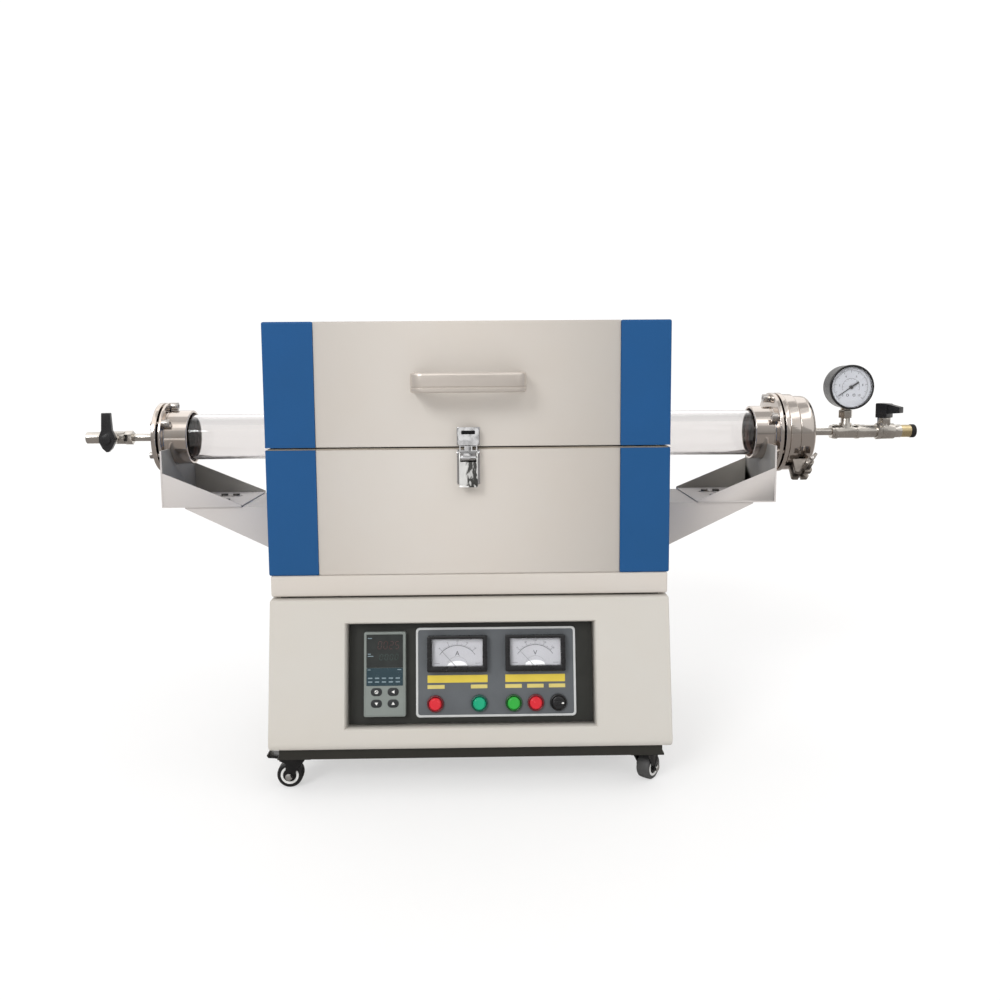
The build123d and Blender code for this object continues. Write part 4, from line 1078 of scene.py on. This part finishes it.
# ------------------------------------------------------------------ tube ends, turned parts
coat("quartz_tube", M["quartz"])
AX = about_x()
k = Kit(M["steel"], M["brownseal"])
lathe(k, fillet2([(-401.4, 27.0), (-401.4, 46.0), (-397.9, 46.0), (-397.9, 35.5), (-368.4, 35.5), (-368.4, 32.6), (-376.0, 32.6), (-376.0, 30.0), (-392.0, 30.0), (-392.0, 27.0)],
                 [0.2, 0.7, 0.7, 0.9, 1.1, 0.5, 0.1, 0.1, 0.1, 0.2], 4), 128, 0, AX)
lathe(k, fillet2([(-376.2, 30.05), (-376.2, 32.5), (-371.5, 32.5), (-371.5, 30.05)], 0.9, 3), 96, 1, AX)
lathe(k, fillet2([(401.5, 27.0), (396.2, 27.0), (396.2, 30.0), (383.0, 30.0), (383.0, 32.6), (375.0, 32.6), (375.0, 35.5), (401.4, 35.5), (401.4, 53.0), (406.4, 53.0), (406.4, 27.0)],
                 [0, 0.2, 0.1, 0.1, 0.1, 0.5, 1.1, 0.9, 0.7, 0.7, 0.2], 4), 128, 0, AX)
lathe(k, fillet2([(383.2, 30.05), (383.2, 32.5), (378.5, 32.5), (378.5, 30.05)], 0.9, 3), 96, 1, AX)
lathe(k, fillet2([(409.0, 24.0), (409.0, 53.0), (414.6, 53.0), (414.6, 41.0), (420.0, 41.0), (420.0, 45.0), (422.0, 45.0), (422.0, 24.0)],
                 [0.3, 0.7, 0.7, 0.8, 0.3, 0.3, 0.3, 0.3], 4), 128, 0, AX)
k.done("tube_flange_set", "frame", ("tube_flanges",), 30.0)
k = Kit(M["rubber"])
lathe(k, fillet2([(-404.4, 31.0), (-404.4, 37.0), (-401.4, 37.0), (-401.4, 31.0)], 0.3, 2), 96, 0, AX)
lathe(k, fillet2([(406.4, 31.0), (406.4, 41.5), (409.0, 41.5), (409.0, 31.0)], 0.3, 2), 96, 0, AX)
lathe(k, fillet2([(422.0, 26.0), (422.0, 33.0), (424.4, 33.0), (424.4, 26.0)], 0.3, 2), 96, 0, AX)
lathe(k, fillet2([(593.4, 0.0), (593.4, 9.0), (600.2, 9.0), (600.2, 0.0)], [0, 0.6, 2.2, 0], 5, False), 48, 0, AX, closed=False)
k.done("seal_set", "frame", ("seals",), 35.0)
k = Kit(M["steel"])
lathe(k, fillet2([(-410.6, 3.0), (-410.6, 46.0), (-404.4, 46.0), (-404.4, 3.0)], [0.3, 1.4, 0.6, 0.3], 4), 128, 0, AX)
lathe(k, fillet2([(424.4, 3.0), (424.4, 45.0), (426.3, 45.0), (426.3, 41.0), (429.9, 41.0), (429.9, 48.5), (451.5, 48.5), (451.5, 3.0)], [0.3, 0.4, 0.4, 0.3, 0.3, 0.9, 9.0, 0.4], 6), 128, 0, AX)
k.done("end_cap_set", "frame", ("end_caps",), 30.0)
rounded("clamp_halves", "frame", [M["steel"], M["cast"]], 0.9, 3, deg=45.0,
        face_mat=lambda c, n: 1 if math.hypot(c.y, c.z - Z_AX) > 51.3 else 0)
rounded("wing_nut", "wing_nut", [M["cast"]], 0.5, 2, deg=50.0)
rounded("screws", "frame", [M["socket"], M["zinc"]], 0.35, 2, deg=50.0,
        face_mat=lambda c, n: 0 if 300 < abs(c.x) < 350 else 1)
k = Kit(M["zinc"])
for sx in (-1, 1):
    for X, Y in ((322, -24), (338, -24), (322, 24), (338, 24)):
        lathe(k, fillet2([(310.0, 4.9), (310.0, 6.9), (311.0, 6.9), (311.0, 4.9)], [0, 0.1, 0.4, 0.2], 3), 36, 0, about_z(sx * X, Y))
k.done("tray_screw_washers", "frame")

# ------------------------------------------------------------------ gas line
rounded("gas_pipework", "frame", [M["pipe"], M["fitting"]], 0.45, 2, deg=45.0,
        face_mat=lambda c, n: 1 if (math.hypot(c.y, c.z - Z_AX) > 5.6 and abs(c.x) > 455) else 0)
rounded("hose_fittings", "frame", [M["pipe"], M["brass"]], 0.4, 2, deg=50.0, face_mat=lambda c, n: 1 if c.x > 579.9 else 0)
rounded("left_valve_lever", "left_valve_lever", [M["black"]], 0.5, 2, deg=60.0)
k = Kit(M["black"])
LV = BM @ Matrix.Translation((558.2, 0, 0)) @ Matrix.Rotation(math.radians(-54), 4, "Z") @ Matrix(((1, 0, 0, 0), (0, 0, -1, 0), (0, 1, 0, 0), (0, 0, 0, 1)))
prism(k, fillet2([(-8.0, 411.7), (8.0, 411.7), (8.0, 430.6), (-8.0, 431.3)], [0.8, 0.8, 1.6, 1.8], 4), -8.0, 8.0, 0, LV, 0.9, 3)
prism(k, fillet2([(4.0, 417.0), (24.0, 418.6), (24.0, 426.6), (4.0, 430.9)], [0.6, 1.2, 1.2, 0.6], 4), -5.4, 5.4, 0, LV, 0.9, 3)
k.done("right_valve_lever_grip", "right_valve_lever", ("right_valve_lever",), 35.0)

# pressure gauge
GX, GZ = 505.6, 453.5
GA = about_y(GX, GZ)
k = Kit(M["bezel"], M["fitting"])
lathe(k, fillet2([(10.5, 0.0), (10.5, 28.5), (-14.4, 28.5), (-14.4, 29.6), (-20.0, 29.6), (-20.0, 26.9), (-14.6, 26.6), (-14.6, 0.0)],
                 [0, 3.5, 0.2, 0.5, 1.3, 0.8, 0, 0], 5, False), 112, 0, GA, closed=False)
lathe(k, fillet2([(422.4, 0.0), (422.4, 6.5), (427.0, 6.5), (427.0, 0.0)], [0, 0.3, 0, 0], 3, False), 40, 1, about_z(GX, 0), closed=False)
lathe(k, fillet2([(412.0, 0.0), (412.0, 9.2), (422.5, 9.2), (422.5, 0.0)], [0, 0.8, 0.8, 0], 3, False), 6, 1, about_z(GX, 0), closed=False)
k.done("gauge_body", "frame", ("gauge_case",), 30.0)
k = Kit(M["gdial"], M["ink"])
lathe(k, [(-14.6, 0.0), (-14.6, 26.6), (-15.0, 26.6), (-15.0, 0.0)], 96, 0, GA, closed=False)
GT = BM @ Matrix.Translation((GX, 0, GZ)) @ Matrix(((1, 0, 0, 0), (0, 0, -1, 0), (0, 1, 0, 0), (0, 0, 0, 1)))      # x right, y up, z to the front
arc_strip(k, 0, 0, 22.6, 0.3, -45, 225, 15.0, 15.1, 1, GT, 72)
for i in range(51):
    an = math.radians(225 - 270 * i / 50)
    ln = 3.4 if i % 5 == 0 else 1.8
    c, s = math.cos(an), math.sin(an)
    bar(k, 22.6 * c, 22.6 * s, (22.6 - ln) * c, (22.6 - ln) * s, 0.45 if i % 5 == 0 else 0.22, 15.0, 15.1, 1, GT)
for i in range(6):
    an = math.radians(225 - 270 * i / 5)
    words(k, str(i * 2), 15.6 * math.cos(an), 15.6 * math.sin(an), 4.2, 15.0, 15.1, 1, GT)
arc_strip(k, 0, 0, 11.6, 0.3, -20, 200, 15.0, 15.1, 1, GT, 48)
for i in range(11):
    an = math.radians(200 - 22 * i)
    c, s = math.cos(an), math.sin(an)
    bar(k, 11.6 * c, 11.6 * s, 9.9 * c, 9.9 * s, 0.3, 15.0, 15.1, 1, GT)
for sx in (-1, 1):
    frame_ring(k, circle(sx * 4.4, -10.6, 1.9, 20), circle(sx * 4.4, -10.6, 1.2, 20), 15.0, 15.1, 1, GT)
k.done("gauge_card", "frame")
coat("gauge_needle", M["needle"])

# ------------------------------------------------------------------ brackets, casters, inside
# the far side plates and the end plates take the darker coat on their inner faces: painted shade
rounded("support_brackets", "frame", [M["bracket"], M["brkin"]], 0.35, 2, deg=60.0,
        face_mat=lambda c, n: 1 if (n.y < -0.9 and c.y > 50 and 310.2 < c.z < 353 and abs(c.x) > 291) or (abs(c.x) > 388 and n.x * c.x < -0.5 and c.z > 311) else 0)
CAST = (("front_left", -203.0, -194.0, 180.0), ("front_right", 203.0, -194.0, 50.0), ("rear_left", -203.0, 158.0, 140.0), ("rear_right", 203.0, 158.0, 35.0))
for nm, X, Y, ang in CAST:
    FI = (Matrix.Translation((X, Y, 0)) @ Matrix.Rotation(math.radians(ang), 4, "Z") @ Matrix.Translation((8.0, 0, 15.0))).inverted()
    rounded("fork_" + nm, "fork_" + nm, [M["gloss"], M["hub"]], 0.5, 2, deg=50.0,
            face_mat=lambda c, n, FI=FI: 1 if abs((FI @ c).y) > 11.5 and math.hypot((FI @ c).x, (FI @ c).z) < 2.8 else 0)
    L = BM @ Matrix.Translation((X, Y, 0)) @ Matrix.Rotation(math.radians(ang), 4, "Z") @ Matrix.Translation((8.0, 0, 15.0)) @ Matrix(((1, 0, 0, 0), (0, 0, 1, 0), (0, -1, 0, 0), (0, 0, 0, 1)))
    # the front right wheel gets a lighter grey tread than the other three
    k = Kit(M["tread"] if nm == "front_right" else M["tyre"], M["ring"], M["gloss"])
    half_w = 8.0
    prof = [(-half_w, 10.4), (-half_w, 13.2), (-6.4, 14.7), (-3.0, 15.0), (3.0, 15.0), (6.4, 14.7), (half_w, 13.2), (half_w, 10.4)]
    lathe(k, fillet2(prof, [0.2, 1.0, 0.8, 0, 0, 0.8, 1.0, 0.2], 4), 72, 0, L)
    for sg in (-1, 1):
        lathe(k, fillet2([(sg * (half_w - 1.4), 7.5), (sg * (half_w + 0.1), 7.7), (sg * (half_w + 0.1), 10.4), (sg * (half_w - 1.4), 10.6)], 0.4, 3), 64, 1, L)
        lathe(k, fillet2([(sg * (half_w - 1.6), 2.56), (sg * (half_w + 0.3), 2.56), (sg * (half_w + 0.3), 5.9), (sg * (half_w - 0.4), 7.6), (sg * (half_w - 1.6), 7.6)], 0.3, 3), 48, 2, L)
    lathe(k, [(-half_w + 1.5, 2.6), (-half_w + 1.5, 11.3), (half_w - 1.5, 11.3), (half_w - 1.5, 2.6)], 48, 0, L)
    k.done("caster_wheel_" + nm, "wheel_" + nm, ("wheel_" + nm,), 32.0)
for sd in ("left", "right"):
    rounded("brake_pedal_" + sd, "brake_pedal_" + sd, [M["gloss"]], 0.5, 2, deg=50.0)
rounded("power_electronics", "frame", [M["core"], M["alu"]], 0.5, 2, deg=50.0, face_mat=lambda c, n: 1 if c.x > 100 else 0)
rounded("cable_gland", "frame", [M["black"]], 0.8, 2, deg=50.0)

# ------------------------------------------------------------------ studio
def stage_mesh(name, verts, faces, mat):
    me = bpy.data.meshes.new(name)
    me.from_pydata(verts, [], faces)
    me.materials.append(mat)
    ob = bpy.data.objects.new(name, me)
    scene.collection.objects.link(ob)
    return ob


fl = Tree("studio_floor")
fl.l(fl.ramp(fl.noise(3.0, 2.0), [(0.3, (0.955, 0.955, 0.955, 1)), (0.7, (0.965, 0.965, 0.965, 1))]), fl.b.inputs["Base Color"])
fl.set(Roughness=0.9, Specular_IOR_Level=0.05)
# bright metal sees the floor as darker cards with one lit strip in front, as in a small studio
fp = fl.n("ShaderNodeLightPath")
fs = fl.n("ShaderNodeSeparateXYZ")
fl.l(fl.co, fs.inputs[0])
fneg = fl.n("ShaderNodeMath", operation="MULTIPLY")
fneg.inputs[1].default_value = -1.0
fl.l(fs.outputs["Y"], fneg.inputs[0])
fmax = fl.n("ShaderNodeMath", operation="MAXIMUM")
fmax.inputs[1].default_value = 0.05
fl.l(fneg.outputs[0], fmax.inputs[0])
frat = fl.n("ShaderNodeMath", operation="DIVIDE")
fl.l(fs.outputs["X"], frat.inputs[0])
fl.l(fmax.outputs[0], frat.inputs[1])
fpos = fl.remap(frat.outputs[0], 0.0, 1.0, -0.5, 0.5)
strip = fl.ramp(fpos, [(0.22, (0.30, 0.285, 0.275, 1)), (0.27, (0.95, 0.94, 0.93, 1)), (0.49, (0.95, 0.94, 0.93, 1)), (0.515, (0.10, 0.10, 0.10, 1)), (0.64, (0.12, 0.12, 0.12, 1)), (0.70, (0.30, 0.285, 0.275, 1))])
fall = fl.remap(fs.outputs["Y"], 1.0, 0.0, -1.8, -1.3)
fcol = fl.n("ShaderNodeMixRGB")
fcol.inputs["Color1"].default_value = (0.30, 0.285, 0.275, 1)
fl.l(fall, fcol.inputs["Fac"])
fl.l(strip, fcol.inputs["Color2"])
fback = fl.remap(fs.outputs["Y"], 0.0, 1.0, 0.35, 0.8)
fcb = fl.n("ShaderNodeMixRGB")
fl.l(fback, fcb.inputs["Fac"])
fl.l(fcol.outputs[0], fcb.inputs["Color1"])
fcb.inputs["Color2"].default_value = (0.86, 0.85, 0.84, 1)
fd = fl.n("ShaderNodeBsdfDiffuse")
fl.l(fcb.outputs[0], fd.inputs["Color"])
fno = fl.n("ShaderNodeMath", operation="SUBTRACT")
fno.use_clamp = True
fl.l(fp.outputs["Is Glossy Ray"], fno.inputs[0])
fl.l(fp.outputs["Is Transmission Ray"], fno.inputs[1])
fm = fl.n("ShaderNodeMixShader")
fl.l(fno.outputs[0], fm.inputs[0])
fl.l(fl.b.outputs[0], fm.inputs[1])
fl.l(fd.outputs[0], fm.inputs[2])
# a little glow keeps the floor pale in the shadows
fe = fl.n("ShaderNodeEmission")
fe.inputs["Color"].default_value = (1.0, 1.0, 1.0, 1)
fe.inputs["Strength"].default_value = 1.0
fcam = fl.n("ShaderNodeMath", operation="MULTIPLY")
fcam.inputs[1].default_value = 0.5
fl.l(fp.outputs["Is Camera Ray"], fcam.inputs[0])
fm2 = fl.n("ShaderNodeMixShader")
fl.l(fcam.outputs[0], fm2.inputs[0])
fl.l(fm.outputs[0], fm2.inputs[1])
fl.l(fe.outputs[0], fm2.inputs[2])
fl.l(fm2.outputs[0], fl.out.inputs[0])
stage_mesh("floor", [(-40, -40, 0), (40, -40, 0), (40, 40, 0), (-40, 40, 0)], [(0, 1, 2, 3)], fl.m)

world = bpy.data.worlds.new("studio_world")
scene.world = world
world.use_nodes = True
wt = world.node_tree
wt.nodes.clear()
wo = wt.nodes.new("ShaderNodeOutputWorld")
bg = wt.nodes.new("ShaderNodeBackground")
bg2 = wt.nodes.new("ShaderNodeBackground")
lp = wt.nodes.new("ShaderNodeLightPath")
mx = wt.nodes.new("ShaderNodeMixShader")
tc = wt.nodes.new("ShaderNodeTexCoord")
sp = wt.nodes.new("ShaderNodeSeparateXYZ")
wt.links.new(tc.outputs["Generated"], sp.inputs[0])


def sky(stops):
    """Brightness of the surroundings against height of the ray."""
    q = wt.nodes.new("ShaderNodeValToRGB")
    wt.links.new(sp.outputs["Z"], q.inputs["Fac"])
    el = q.color_ramp.elements
    el[0].position, el[0].color = stops[0][0], (stops[0][1], stops[0][1] * 0.975, stops[0][1] * 0.95, 1)
    el[1].position, el[1].color = stops[-1][0], (stops[-1][1], stops[-1][1] * 0.985, stops[-1][1] * 0.97, 1)
    for p_, v_ in stops[1:-1]:
        x = el.new(p_)
        x.color = (v_, v_ * 0.985, v_ * 0.97, 1)
    return q.outputs["Color"]


# soft light for paint and plastic; lit panels in a darker room for bright metal
wt.links.new(sky([(0.0, 0.30), (0.10, 0.34), (0.22, 0.62), (0.45, 0.92), (1.0, 1.0)]), bg.inputs["Color"])
bg.inputs["Strength"].default_value = 0.86
band = sky([(0.0, 0.20), (0.20, 0.26), (0.55, 0.30), (0.67, 0.34), (0.70, 1.0), (0.84, 1.0), (0.88, 0.32), (1.0, 0.36)])
wide = sky([(0.0, 0.22), (0.30, 0.30), (0.50, 0.40), (0.57, 1.0), (0.90, 1.0), (0.95, 0.45), (1.0, 0.60)])
sx_ = wt.nodes.new("ShaderNodeMapRange")
sx_.inputs["From Min"].default_value = -0.05
sx_.inputs["From Max"].default_value = -0.28
wt.links.new(sp.outputs["X"], sx_.inputs["Value"])
mc = wt.nodes.new("ShaderNodeMixRGB")
wt.links.new(sx_.outputs["Result"], mc.inputs["Fac"])
wt.links.new(band, mc.inputs["Color1"])
wt.links.new(wide, mc.inputs["Color2"])
# behind the object the room is the pale backdrop, seen in metal and glass only at grazing angles
by_ = wt.nodes.new("ShaderNodeMapRange")
by_.inputs["From Min"].default_value = 0.10
by_.inputs["From Max"].default_value = 0.45
wt.links.new(sp.outputs["Y"], by_.inputs["Value"])
mb = wt.nodes.new("ShaderNodeMixRGB")
wt.links.new(by_.outputs["Result"], mb.inputs["Fac"])
wt.links.new(mc.outputs["Color"], mb.inputs["Color1"])
mb.inputs["Color2"].default_value = (0.52, 0.51, 0.50, 1)
bg3 = wt.nodes.new("ShaderNodeBackground")
wt.links.new(mb.outputs["Color"], bg3.inputs["Color"])
bg3.inputs["Strength"].default_value = 1.6
mg = wt.nodes.new("ShaderNodeMixShader")
wt.links.new(lp.outputs["Is Glossy Ray"], mg.inputs[0])
wt.links.new(bg.outputs[0], mg.inputs[1])
wt.links.new(bg3.outputs[0], mg.inputs[2])
bg2.inputs["Color"].default_value = (1, 1, 1, 1)
bg2.inputs["Strength"].default_value = 1.05
see = wt.nodes.new("ShaderNodeMath")
see.operation = "MAXIMUM"
wt.links.new(lp.outputs["Is Camera Ray"], see.inputs[0])
wt.links.new(lp.outputs["Is Transmission Ray"], see.inputs[1])
wt.links.new(see.outputs[0], mx.inputs[0])
wt.links.new(mg.outputs[0], mx.inputs[1])
wt.links.new(bg2.outputs[0], mx.inputs[2])
wt.links.new(mx.outputs[0], wo.inputs[0])


def sun(name, az, el, strength, soft, col=(1, 1, 1)):
    """Soft distant lamp; az is measured from the front (-Y) towards the left (-X)."""
    li = bpy.data.lights.new(name, "SUN")
    li.energy = strength
    li.angle = math.radians(soft)
    li.color = col
    ob = bpy.data.objects.new(name, li)
    a, b = math.radians(az), math.radians(el)
    frm = Vector((-math.sin(a) * math.cos(b), -math.cos(a) * math.cos(b), math.sin(b)))
    ob.rotation_euler = (-frm).to_track_quat("-Z", "Y").to_euler()
    ob.location = frm * 3
    scene.collection.objects.link(ob)
    return ob


sun("key_light", 33, 31, 1.2, 22)
sun("fill_light", -50, 38, 0.45, 70)
sun("rear_light", 175, 50, 0.45, 60)

scene.view_settings.view_transform = "Standard"
scene.view_settings.look = "None"
scene.view_settings.exposure = 0.0
scene.view_settings.gamma = 1.0

# camera at the photograph's angle
cd = bpy.data.cameras.new("camera")
cam = bpy.data.objects.new("camera", cd)
scene.collection.objects.link(cam)
scene.camera = cam
cd.sensor_width = 36.0
cd.sensor_fit = "HORIZONTAL"
cd.lens = 906.101 / 1000.0 * 36.0
cd.shift_x = (500.0 - 496.32) / 1000.0
cd.shift_y = -(500.0 - 456.322) / 1000.0
cd.clip_start, cd.clip_end = 0.05, 60.0
yw, pt, rl = math.radians(0.882), math.radians(5.885), math.radians(0.427)
fw = Vector((math.sin(yw) * math.cos(pt), math.cos(yw) * math.cos(pt), -math.sin(pt)))
rt = Vector((math.cos(yw), -math.sin(yw), 0.0))
up = rt.cross(fw)
rt2 = rt * math.cos(rl) - up * math.sin(rl)
up2 = up * math.cos(rl) + rt * math.sin(rl)
loc = BM @ Vector((15.84, -1213.06, 488.93))
cam.matrix_world = Matrix(((rt2.x, up2.x, -fw.x, loc.x), (rt2.y, up2.y, -fw.y, loc.y), (rt2.z, up2.z, -fw.z, loc.z), (0, 0, 0, 1)))
